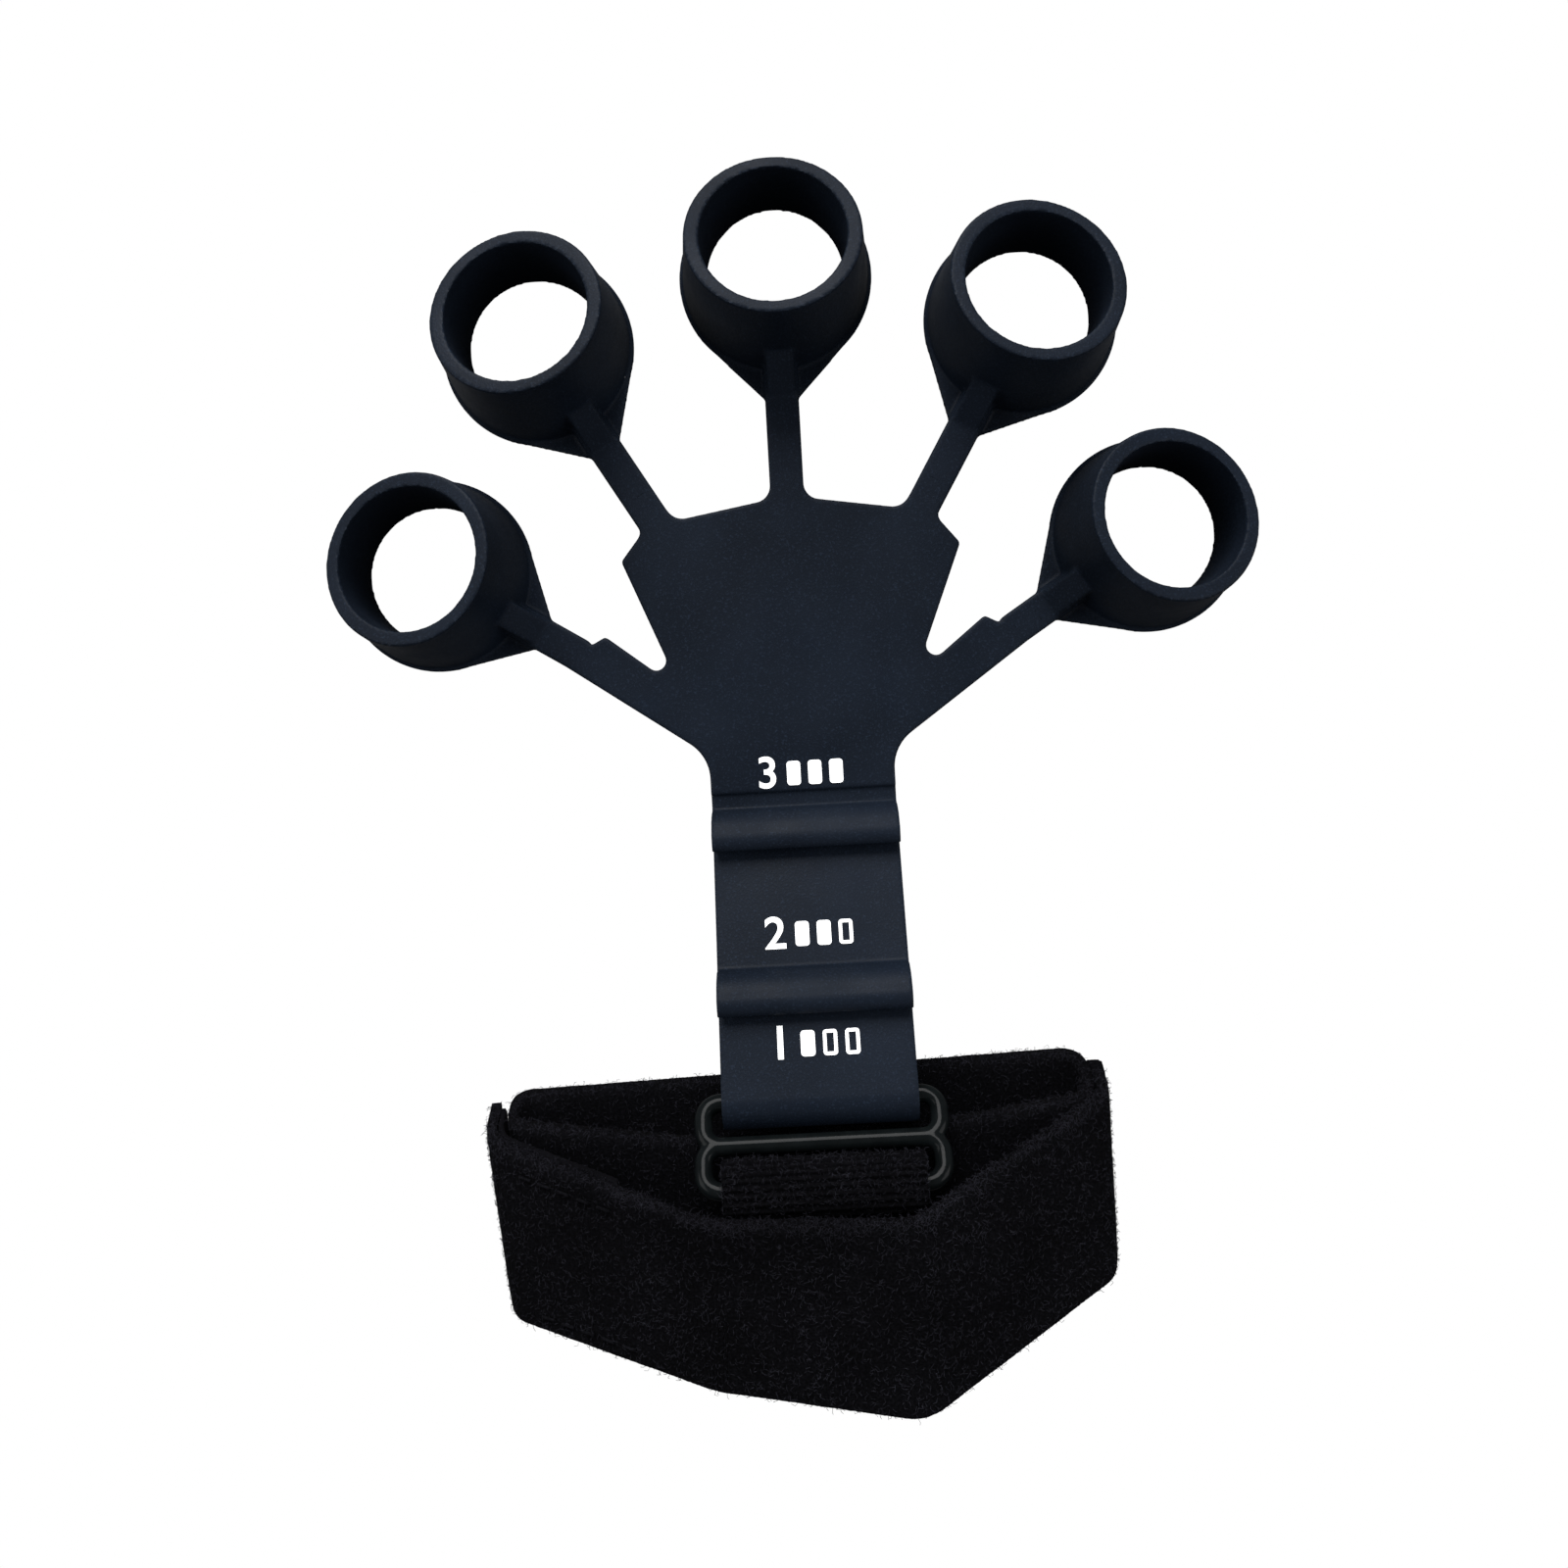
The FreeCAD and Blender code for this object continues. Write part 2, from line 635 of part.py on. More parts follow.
def flap_path(far=False):
    """The flap's middle line, from its fixed end at the right over the crest and round the left.

    The two corners without a radius beside the last bend are where the hook tape starts and ends.
    """
    left = (BAND_LEFT_FAR if far else BAND_LEFT) - FLAP_GAP - HOOK_PATCH_T - WEB_T / 2
    brow = (FLAP_BROW[0], FLAP_BROW_FAR_Z if far else FLAP_BROW[1])
    bend = (left, FLAP_LEFT_FAR_Z if far else FLAP_LEFT_Z)
    tip = (left, FLAP_TIP_FAR_Z if far else FLAP_TIP_Z)
    back = unit(bend, brow)
    corners = [
        flap_root(),
        (flap_root()[0], FLAP_SHOULDER_Z),
        FLAP_CREST,
        brow,
        (bend[0] + back[0] * HOOK_PATCH_LENGTH, bend[1] + back[1] * HOOK_PATCH_LENGTH),
        bend,
        (tip[0], tip[1] + HOOK_PATCH_INSET),
        tip,
    ]
    shoulder_r, crest_r, brow_r, bend_r = FLAP_RADII
    return corners, [0, shoulder_r, crest_r, brow_r, 0, FLAP_LEFT_FAR_R if far else bend_r, 0, 0]


def flap_root():
    """The axis that the flap peels about, at the loop's right-hand end."""
    return (BAND_RIGHT + FLAP_GAP + WEB_T / 2, FLAP_ROOT_Z)


def wristband_flap():
    """The overlapping end of the webbing, round at the end where it peels."""

    def section(far):
        return strip_face(*flap_path(far), -WEB_T / 2, WEB_T / 2, at_edge(far)).OuterWire

    x, z = flap_root()
    knuckle = Part.Face(Part.Wire(Part.makeCircle(WEB_T / 2, in_section(x, z), V(0, 1, 0))))
    return between_edges(section).fuse(lean_cut(knuckle)).removeSplitter()


def hook_patch():
    """The hook tape under the flap's free end."""

    def section(far):
        corners, radii = flap_path(far)
        low, high = WEB_T / 2, WEB_T / 2 + HOOK_PATCH_T
        return strip_face(corners[4:7], [0, radii[5], 0], low, high, at_edge(far)).OuterWire

    return between_edges(section)


def flap_seam():
    """The sewn seam where the flap leaves the loop's right-hand end."""
    x, z = flap_root()
    top = z - WEB_T / 2 - FLEX_GAP
    left, right = BAND_RIGHT - SEAM_DEPTH, x + WEB_T / 2
    low = top - FLAP_STUB
    outline = [(left, low), (right, low), (right, top), (left, top)]
    seam = lean_cut(closed_face(outline, [0, SEAM_R, 0, 0], in_section))
    return seam.cut(band_outside())


def over_flap(distance, share):
    """A point just over the flap, this far back from its bend and this share of its width from the near edge."""
    over = WEB_T / 2 + STITCH_D / 2
    ends = []
    for far in (False, True):
        corners, _ = flap_path(far)
        bend, back = corners[5], unit(corners[5], corners[4])
        x = bend[0] + back[0] * distance - back[1] * over
        z = bend[1] + back[1] * distance + back[0] * over
        ends.append(at_edge(far)(x, z))
    return ends[0] + (ends[1] - ends[0]) * share


def flap_stitches():
    """Thread that holds the hook tape to the flap, on its outer face."""
    stitches = []
    for inset in (STITCH_INSET, WEB_WIDTH - STITCH_INSET):
        for i in range(FLAP_STITCHES):
            start = over_flap(FLAP_STITCH_START + i * STITCH_PITCH, inset / WEB_WIDTH)
            end = over_flap(FLAP_STITCH_START + i * STITCH_PITCH + STITCH_LENGTH, inset / WEB_WIDTH)
            thread = Part.makeCylinder(STITCH_D / 2, (end - start).Length, start, end - start)
            stitches.append(thread)
    return Part.makeCompound(stitches)


def build():
    """Every node by name."""
    nodes = {"palm_pad": palm_pad()}
    for finger in DIRECTIONS:
        nodes[f"{finger}_arm"] = arm(finger)
        nodes[f"{finger}_loop"] = loop(finger)
    nodes["strap_root"] = strap_root()
    nodes["strap_middle"] = strap_middle()
    nodes["strap_hook"] = strap_hook()
    nodes["level_mark_3"] = flat_mark()
    nodes["level_mark_2"] = level_mark(RIDGE_STARTS[1] - MARK_GAP)
    nodes["level_mark_1"] = level_mark(run_length() - END_ROLL_LEAD - MARK_GAP)
    nodes["buckle"] = buckle()
    nodes["webbing_tab"] = webbing_tab()
    nodes["tab_stitches"] = tab_stitches()
    nodes["wristband"] = wristband()
    nodes["flap_seam"] = flap_seam()
    nodes["wristband_flap"] = wristband_flap()
    nodes["hook_patch"] = hook_patch()
    nodes["flap_stitches"] = flap_stitches()
    return nodes


def main():
    nodes = build()
    box = Part.makeCompound(list(nodes.values())).optimalBoundingBox(False)
    shift = V(-(box.XMin + box.XMax) / 2, -(box.YMin + box.YMax) / 2, -box.ZMin)
    os.makedirs("parts", exist_ok=True)
    for name, shape in nodes.items():
        shape.translate(shift)
        shape.exportStep(f"parts/{name}.step")
        print(name, "valid", shape.isValid(), "solids", len(shape.Solids))
    print_places(box, shift)


def rounded(values, digits=3):
    return [round(v, digits) for v in values]


def print_places(box, shift):
    """The box, and the places that the joints and mounts go by."""
    print("shift", rounded(shift), "box", rounded((box.XLength, box.YLength, box.ZLength), 2))
    for finger, (x, y, angle, reach) in DIRECTIONS.items():
        a = math.radians(angle)
        hinge = V(x - reach * math.cos(a), y - reach * math.sin(a), PLATE_T / 2) + shift
        outwards = [round(math.cos(a), 5), round(math.sin(a), 5)]
        print(finger, "hinge", rounded(hinge), "outwards", *outwards)
        print(finger, "centre", *rounded((x + shift.x, y + shift.y)))
    for name, (y, z) in {
        "strap hinge": (STRAP_HINGE_Y, STRAP_T / 2),
        "strap stretch": along(STRAP_CUTS[0]),
        "strap flex": along(STRAP_CUTS[1]),
        "strap bar": STRAP_BAR,
        "band bar": band_bar,
    }.items():
        print(name, rounded(V(0, y, z) + shift))
    print("run angle", round(math.degrees(strap_run()[2]), 3), "length", round(run_length(), 3))
    x, z = flap_root()
    print("flap hinge", rounded(V(x, 0, z) + shift))


main()
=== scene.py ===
import json
import math

import bmesh
import bpy
import numpy as np
from bpy.props import FloatProperty, FloatVectorProperty, IntProperty, PointerProperty
from bpy.types import Operator, Panel, PropertyGroup
from mathutils import Matrix, Vector

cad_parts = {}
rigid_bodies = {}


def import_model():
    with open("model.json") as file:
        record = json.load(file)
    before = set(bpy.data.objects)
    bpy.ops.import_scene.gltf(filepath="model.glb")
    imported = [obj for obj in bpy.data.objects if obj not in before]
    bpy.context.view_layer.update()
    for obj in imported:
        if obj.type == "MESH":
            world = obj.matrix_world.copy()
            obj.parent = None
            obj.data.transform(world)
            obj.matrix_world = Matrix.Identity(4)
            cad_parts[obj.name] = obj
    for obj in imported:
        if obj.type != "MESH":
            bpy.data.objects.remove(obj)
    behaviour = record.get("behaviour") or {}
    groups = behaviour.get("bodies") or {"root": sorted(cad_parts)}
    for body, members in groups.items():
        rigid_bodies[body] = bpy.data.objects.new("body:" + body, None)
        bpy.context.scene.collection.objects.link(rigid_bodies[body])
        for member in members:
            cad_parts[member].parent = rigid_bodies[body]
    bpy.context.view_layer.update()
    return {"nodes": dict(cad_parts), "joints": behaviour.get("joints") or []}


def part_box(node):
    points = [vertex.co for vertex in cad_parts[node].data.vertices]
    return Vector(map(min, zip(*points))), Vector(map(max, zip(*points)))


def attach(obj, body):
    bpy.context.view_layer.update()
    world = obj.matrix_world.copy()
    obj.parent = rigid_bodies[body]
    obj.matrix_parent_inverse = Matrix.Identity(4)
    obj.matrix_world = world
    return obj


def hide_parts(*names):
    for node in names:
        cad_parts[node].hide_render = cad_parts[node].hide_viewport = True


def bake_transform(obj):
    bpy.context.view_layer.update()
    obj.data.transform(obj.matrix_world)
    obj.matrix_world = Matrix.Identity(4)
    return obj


bl_info = {
    "name": "Finger exerciser",
    "version": (1, 0, 0),
    "blender": (4, 5, 0),
    "location": "View3D > Sidebar > Exerciser",
    "description": "Makes a silicone finger exerciser with its buckle and wristband",
    "category": "Add Mesh",
}

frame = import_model()

FINGERS = ("thumb", "index", "middle", "ring_finger", "little")
MM = 0.001
JOINTS = {joint["name"]: joint for joint in frame["joints"]}
DOWN = Vector((0, -1, 0))  # along the flat part of the strap, away from the fingers


# Sizes and colours


class MouldingSizes(PropertyGroup):
    """Sizes of the silicone moulding's finish."""

    grain: FloatProperty(
        name="Mesh grain",
        description="Size of the faces that the moulding is made of",
        default=0.00034,
        min=0.0002,
        unit="LENGTH",
    )
    rounding: IntProperty(
        name="Rounding",
        description="Passes that round the moulding's edges",
        default=2,
        min=0,
    )


class WebbingSizes(PropertyGroup):
    """Sizes of the wristband's webbing."""

    thickness: FloatProperty(
        name="Thickness",
        description="Thickness of the wristband's webbing",
        default=0.0021,
        min=0.001,
        unit="LENGTH",
    )
    rib_pitch: FloatProperty(
        name="Rib pitch",
        description="Distance from one rib of the wristband to the next",
        default=0.00105,
        min=0.0005,
        unit="LENGTH",
    )
    rib_height: FloatProperty(
        name="Rib height",
        description="How far a rib stands out of the webbing",
        default=0.00016,
        min=0.0,
        unit="LENGTH",
    )
    pile_length: FloatProperty(
        name="Pile length",
        description="Length of a loop of the brushed pile along the webbing",
        default=0.0011,
        min=0.0002,
        unit="LENGTH",
    )
    pile_height: FloatProperty(
        name="Pile height",
        description="How far the brushed pile stands out of the ribs",
        default=0.00038,
        min=0.0001,
        unit="LENGTH",
    )
    pile_thickness: FloatProperty(
        name="Pile thickness",
        description="Thickness of one loop of the pile",
        default=0.000085,
        min=0.00002,
        unit="LENGTH",
    )


class Colours(PropertyGroup):
    """Colours of the finishes."""

    silicone: FloatVectorProperty(
        name="Silicone",
        description="Colour of the moulding",
        default=(0.0037, 0.0057, 0.0098),
        subtype="COLOR",
        min=0.0,
        max=1.0,
    )
    ink: FloatVectorProperty(
        name="Ink",
        description="Colour of the printed level marks",
        default=(0.86, 0.87, 0.88),
        subtype="COLOR",
        min=0.0,
        max=1.0,
    )
    webbing: FloatVectorProperty(
        name="Webbing",
        description="Colour of the webbing's ground",
        default=(0.001, 0.001, 0.0013),
        subtype="COLOR",
        min=0.0,
        max=1.0,
    )
    pile: FloatVectorProperty(
        name="Pile",
        description="Colour of the brushed pile",
        default=(0.008, 0.008, 0.0105),
        subtype="COLOR",
        min=0.0,
        max=1.0,
    )
    buckle: FloatVectorProperty(
        name="Buckle",
        description="Colour of the buckle's plastic",
        default=(0.002, 0.0026, 0.0028),
        subtype="COLOR",
        min=0.0,
        max=1.0,
    )


# Finishes


def nodes_of(name):
    """A new material with its node tree, its shader and object coordinates."""
    material = bpy.data.materials.new(name)
    material.use_nodes = True
    tree = material.node_tree
    shader = tree.nodes["Principled BSDF"]
    place = tree.nodes.new("ShaderNodeTexCoord").outputs["Object"]
    return material, tree, shader, place


def noise(tree, place, scale, detail=2.0):
    node = tree.nodes.new("ShaderNodeTexNoise")
    node.inputs["Scale"].default_value = scale
    node.inputs["Detail"].default_value = detail
    tree.links.new(place, node.inputs["Vector"])
    return node.outputs["Fac"]


def ramp(tree, value, stops):
    """Colours or greys along a value, as pairs of position and colour."""
    node = tree.nodes.new("ShaderNodeValToRGB")
    band = node.color_ramp
    for (position, colour), element in zip(stops, band.elements):
        element.position = position
        element.color = (*colour, 1.0)
    for position, colour in stops[2:]:
        band.elements.new(position).color = (*colour, 1.0)
    tree.links.new(value, node.inputs["Fac"])
    return node.outputs["Color"]


def bump(tree, shader, height, distance, strength=1.0):
    node = tree.nodes.new("ShaderNodeBump")
    node.inputs["Distance"].default_value = distance
    node.inputs["Strength"].default_value = strength
    tree.links.new(height, node.inputs["Height"])
    tree.links.new(node.outputs["Normal"], shader.inputs["Normal"])


def blended(tree, amount, first, second):
    """The second colour over the first where the amount is one."""
    node = tree.nodes.new("ShaderNodeMix")
    node.data_type = "RGBA"
    tree.links.new(amount, node.inputs["Factor"])
    for socket, colour in ((node.inputs[6], first), (node.inputs[7], second)):
        if isinstance(colour, tuple):
            socket.default_value = (*colour, 1.0)
        else:
            tree.links.new(colour, socket)
    return node.outputs[2]


def grey(value):
    return (value, value, value)


def scaled(colour, factor):
    return tuple(min(1.0, part * factor) for part in colour)


def silicone_finish(colours):
    """Satin moulded silicone with a fine eroded grain, handling marks and a little dust."""
    material, tree, shader, place = nodes_of("satin_silicone")
    base = tuple(colours.silicone)
    broad = noise(tree, place, 55.0, 4.0)
    patches = ramp(tree, broad, [(0.3, scaled(base, 0.8)), (0.75, scaled(base, 1.3))])
    grain = noise(tree, place, 2600.0, 2.0)
    peaks = ramp(tree, grain, [(0.55, grey(0.0)), (0.8, grey(1.0))])
    frosted = blended(tree, peaks, patches, scaled(base, 2.4))
    cells = tree.nodes.new("ShaderNodeTexVoronoi")
    cells.inputs["Scale"].default_value = 150.0
    tree.links.new(place, cells.inputs["Vector"])
    dot = ramp(tree, cells.outputs["Distance"], [(0.012, grey(1.0)), (0.03, grey(0.0))])
    picked = ramp(tree, cells.outputs["Color"], [(0.86, grey(0.0)), (0.9, grey(1.0))])
    dust = tree.nodes.new("ShaderNodeMath")
    dust.operation = "MULTIPLY"
    tree.links.new(dot, dust.inputs[0])
    tree.links.new(picked, dust.inputs[1])
    colour = blended(tree, dust.outputs["Value"], frosted, grey(0.32))
    tree.links.new(colour, shader.inputs["Base Color"])
    smears = noise(tree, place, 90.0, 5.0)
    tree.links.new(ramp(tree, smears, [(0.3, grey(0.44)), (0.7, grey(0.58))]), shader.inputs["Roughness"])
    shader.inputs["Specular IOR Level"].default_value = 0.045
    bump(tree, shader, grain, 0.00004)
    return material


def ink_finish(colours):
    """White pad print, thin in places so that the rubber's grain shows through."""
    material, tree, shader, place = nodes_of("white_print")
    base = tuple(colours.ink)
    thin = ramp(tree, noise(tree, place, 1900.0, 3.0), [(0.25, scaled(base, 0.7)), (0.42, base)])
    tree.links.new(thin, shader.inputs["Base Color"])
    shader.inputs["Roughness"].default_value = 0.48
    bump(tree, shader, noise(tree, place, 3200.0), 0.00002)
    return material


def buckle_finish(colours):
    """Smooth moulded plastic with faint flow waves and uneven gloss."""
    material, tree, shader, place = nodes_of("gloss_buckle_plastic")
    base = tuple(colours.buckle)
    streaks = ramp(tree, noise(tree, place, 420.0, 4.0), [(0.3, base), (0.8, scaled(base, 1.7))])
    tree.links.new(streaks, shader.inputs["Base Color"])
    fine = noise(tree, place, 1600.0, 3.0)
    tree.links.new(ramp(tree, fine, [(0.35, grey(0.1)), (0.75, grey(0.2))]), shader.inputs["Roughness"])
    shader.inputs["Specular IOR Level"].default_value = 0.05
    bump(tree, shader, noise(tree, place, 260.0, 2.0), 0.00003)
    return material


def cloth_finish(name, base, lift, strength):
    """Matt yarn whose twist shows as fine speckle, with a trace of sheen at glancing angles."""
    material, tree, shader, place = nodes_of(name)
    yarn = noise(tree, place, 2400.0, 3.0)
    speckle = ramp(tree, yarn, [(0.42, base), (0.72, scaled(base, lift))])
    tone = ramp(tree, noise(tree, place, 70.0, 3.0), [(0.3, grey(0.62)), (0.7, grey(1.0))])
    worn = tree.nodes.new("ShaderNodeMix")
    worn.data_type = "RGBA"
    worn.blend_type = "MULTIPLY"
    worn.inputs["Factor"].default_value = 1.0
    tree.links.new(speckle, worn.inputs[6])
    tree.links.new(tone, worn.inputs[7])
    tree.links.new(worn.outputs[2], shader.inputs["Base Color"])
    shader.inputs["Roughness"].default_value = 0.92
    shader.inputs["Specular IOR Level"].default_value = 0.02
    shader.inputs["Sheen Weight"].default_value = 0.002
    shader.inputs["Sheen Roughness"].default_value = 0.4
    bump(tree, shader, yarn, 0.00018, strength)
    return material


def make_finishes(scene):
    colours = scene.exerciser_colours
    webbing, pile = tuple(colours.webbing), tuple(colours.pile)
    return {
        "silicone": silicone_finish(colours),
        "ink": ink_finish(colours),
        "buckle": buckle_finish(colours),
        "webbing": cloth_finish("woven_webbing", webbing, 3.0, 1.0),
        "pile": cloth_finish("brushed_pile", pile, 2.6, 0.4),
        "thread": cloth_finish("sewing_thread", scaled(webbing, 2.0), 3.0, 0.8),
        "hooks": cloth_finish("hook_tape_plastic", scaled(webbing, 1.8), 1.8, 0.3),
    }


finishes = {}


def finish(kind):
    if not finishes:
        finishes.update(make_finishes(bpy.context.scene))
    return finishes[kind]


# Modelling


def clear():
    if bpy.context.mode != "OBJECT":
        bpy.ops.object.mode_set(mode="OBJECT")
    bpy.ops.object.select_all(action="DESELECT")


def take(obj):
    """Makes one object the only selected one and the active one."""
    clear()
    obj.select_set(True)
    bpy.context.view_layer.objects.active = obj
    return obj


def settle(obj, name=None):
    """Puts an object's place into its mesh."""
    take(obj)
    bpy.ops.object.transform_apply(location=True, rotation=True, scale=True)
    if name:
        obj.name = obj.data.name = name
    return obj


def copy_of(node, name):
    """A CAD node's mesh as a new object, its loose triangles merged."""
    mesh = frame["nodes"][node].data.copy()
    mesh.materials.clear()
    obj = bpy.data.objects.new(name, mesh)
    bpy.context.scene.collection.objects.link(obj)
    whole_mesh(obj)
    bpy.ops.mesh.remove_doubles(threshold=1e-6)
    bpy.ops.object.mode_set(mode="OBJECT")
    return obj


def join(objs, name):
    take(objs[0])
    for obj in objs:
        obj.select_set(True)
    if len(objs) > 1:
        bpy.ops.object.join()
    joined = bpy.context.view_layer.objects.active
    joined.name = joined.data.name = name
    return joined


def block(centre, along, size):
    """A box whose length lies along a direction, its height square to X or Z as the direction allows."""
    bpy.ops.mesh.primitive_cube_add(size=1.0)
    obj = bpy.context.object
    u = Vector(along).normalized()
    side = u.cross(Vector((0, 0, 1))).normalized()
    up = side.cross(u)
    turn = Matrix((u, side, up)).transposed().to_4x4()
    obj.matrix_world = Matrix.Translation(centre) @ turn @ Matrix.Diagonal((*size, 1.0))
    return settle(obj)


def apply(obj, kind, **settings):
    """Adds a modifier, sets it and applies it."""
    take(obj)
    modifier = obj.modifiers.new(kind.lower(), kind)
    for key, value in settings.items():
        setattr(modifier, key, value)
    bpy.ops.object.modifier_apply(modifier=modifier.name)
    return obj


def soften(obj, grain, passes):
    """Melts overlapping solids into one skin and rounds its edges."""
    apply(obj, "REMESH", mode="VOXEL", voxel_size=grain, use_smooth_shade=True)
    if passes:
        apply(obj, "SMOOTH", factor=0.5, iterations=passes)
    return obj


def vectors(items, attribute):
    """One vector of each item of a mesh, as rows."""
    rows = np.empty(len(items) * 3, np.float32)
    items.foreach_get(attribute, rows)
    return rows.reshape(-1, 3)


def points_of(obj):
    return vectors(obj.data.vertices, "co")


def centres_of(obj):
    return vectors(obj.data.polygons, "center")


def move_points(obj, places):
    obj.data.vertices.foreach_set("co", places.astype(np.float32).ravel())
    obj.data.update()


def by_speed(full):
    return full


def whole_mesh(obj):
    """Opens a mesh for editing with everything selected."""
    take(obj)
    bpy.ops.object.mode_set(mode="EDIT")
    bpy.ops.mesh.select_all(action="SELECT")


def pick_faces(obj, chosen):
    """Selects faces by a yes or no each, and nothing else, ready for edit mode."""
    take(obj)
    mesh = obj.data
    bpy.context.tool_settings.mesh_select_mode = (False, False, True)
    mesh.vertices.foreach_set("select", np.zeros(len(mesh.vertices), bool))
    mesh.edges.foreach_set("select", np.zeros(len(mesh.edges), bool))
    mesh.polygons.foreach_set("select", np.asarray(chosen, bool))
    bpy.ops.object.mode_set(mode="EDIT")


def close_cuts(obj):
    """Caps every open edge of a piece."""
    take(obj)
    bpy.ops.object.mode_set(mode="EDIT")
    bpy.ops.mesh.select_mode(type="EDGE")
    bpy.ops.mesh.select_all(action="DESELECT")
    bpy.ops.mesh.select_non_manifold(
        extend=False,
        use_wire=False,
        use_boundary=True,
        use_multi_face=False,
        use_non_contiguous=False,
        use_verts=False,
    )
    bpy.ops.mesh.edge_face_add()
    bpy.ops.object.mode_set(mode="OBJECT")


BISECT_REACH = 2.0 * MM  # how far from a cut its faces are looked for


def cut_off(whole, name, place, outwards, half_width):
    """Bisects the moulding across a strip and gives what lies beyond as a piece, both sides capped."""
    place, outwards = Vector(place), Vector(outwards).normalized()
    side = outwards.cross(Vector((0, 0, 1))).normalized()

    def seen_from_plane():
        centres = centres_of(whole) - np.array(place)
        return centres @ np.array(outwards), np.abs(centres @ np.array(side)) < half_width

    beyond, close = seen_from_plane()
    pick_faces(whole, close & (np.abs(beyond) < BISECT_REACH))
    bpy.ops.mesh.bisect(plane_co=place, plane_no=outwards, use_fill=False)
    bpy.ops.object.mode_set(mode="OBJECT")
    beyond, close = seen_from_plane()
    pick_faces(whole, close & (beyond > 0))
    before = set(bpy.data.objects)
    bpy.ops.mesh.separate(type="SELECTED")
    bpy.ops.object.mode_set(mode="OBJECT")
    piece = (set(bpy.data.objects) - before).pop()
    piece.name = piece.data.name = name
    close_cuts(piece)
    close_cuts(whole)
    return piece


def dress(obj, kind, slot, *nodes):
    """Gives a finished piece its finish and hides the CAD nodes that it stands for."""
    obj.data.materials.clear()
    obj.data.materials.append(finish(kind))
    if nodes:
        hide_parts(*nodes)
    return obj


def shade(obj, degrees=None):
    take(obj)
    if degrees is None:
        bpy.ops.object.shade_smooth()
    else:
        bpy.ops.object.shade_smooth_by_angle(angle=math.radians(degrees))


# The silicone moulding


class FingerLine:
    """Where a finger's arm bends, its direction and its loop."""

    def __init__(self, finger):
        self.hinge = Vector(JOINTS[f"{finger}_bend"]["pos_m"])
        self.out = Vector(JOINTS[f"{finger}_stretch"]["axis"])
        side = self.out.cross(Vector((0, 0, 1)))
        co = points_of(frame["nodes"][f"{finger}_loop"]) - np.array(self.hinge)
        across = co @ np.array(side)
        self.back_radius = float(np.ptp(across)) / 2
        self.reach = float((co @ np.array(self.out)).max()) - self.back_radius
        low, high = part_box(f"{finger}_arm")
        self.thickness = high.z - low.z
        arm = points_of(frame["nodes"][f"{finger}_arm"]) - np.array(self.hinge)
        self.width = float(np.ptp(arm @ np.array(side)))
        self.arm_length = float((arm @ np.array(self.out)).max())

    def at(self, distance):
        return self.hinge + distance * self.out


class StrapLine:
    """Where the strap bends, stretches and flexes."""

    def __init__(self):
        self.bend = Vector(JOINTS["strap_bend"]["pos_m"])
        self.flex = Vector(JOINTS["strap_flex"]["pos_m"])
        self.run = Vector(JOINTS["strap_stretch"]["axis"])
        low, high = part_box("strap_middle")
        self.width = high.x - low.x
        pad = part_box("strap_root")[0]
        self.thickness = 2 * (self.bend.z - pad.z)

    def on_run(self, before_flex):
        return self.flex - before_flex * self.run


STRETCH_BEFORE_FLEX = 21.1 * MM  # along the strap, from where it stretches to where it flexes

# The blocks that bridge the CAD part's clearances: how long each is and how far behind its joint.
ARM_ROOT_BLOCK, ARM_ROOT_BACK = 3.2 * MM, 0.6 * MM
ARM_END_BLOCK = 2.4 * MM
BEND_BLOCK, BEND_BACK = 3.6 * MM, 0.4 * MM
STRETCH_BLOCK = 2.0 * MM
FLEX_BLOCK, FLEX_BACK = 3.2 * MM, 0.5 * MM

# Where the skin is cut and how far it blends, from the joint towards the piece's free end.
ARM_CUT = 2.3 * MM
ARM_ROOM = 8.0 * MM  # half the width of the strip that holds an arm
LOOP_ROOM = 1.0 * MM
ROOT_CUT, ROOT_BLEND = -2.0 * MM, (-1.9 * MM, 2.2 * MM)
MIDDLE_CUT, MIDDLE_BLEND = 6.5 * MM, (6.3 * MM, -1.0 * MM)
HOOK_CUT, HOOK_BLEND = 1.9 * MM, (1.8 * MM, -0.8 * MM)


def bridge_gaps():
    """Blocks that fill the clearances where the CAD part bends and stretches."""
    blocks = []
    for finger in FINGERS:
        line = FingerLine(finger)
        size = (ARM_ROOT_BLOCK + line.thickness / 2, line.width, line.thickness)
        blocks.append(block(line.at(-ARM_ROOT_BACK), line.out, size))
        size = (ARM_END_BLOCK, line.width, line.thickness)
        blocks.append(block(line.at(line.arm_length), line.out, size))
    strap = StrapLine()
    for length, place, along in (
        (BEND_BLOCK, strap.bend - BEND_BACK * DOWN, DOWN),
        (STRETCH_BLOCK, strap.on_run(STRETCH_BEFORE_FLEX), strap.run),
        (FLEX_BLOCK, strap.on_run(FLEX_BACK), strap.run),
    ):
        blocks.append(block(place, along, (length, strap.width, strap.thickness)))
    return blocks


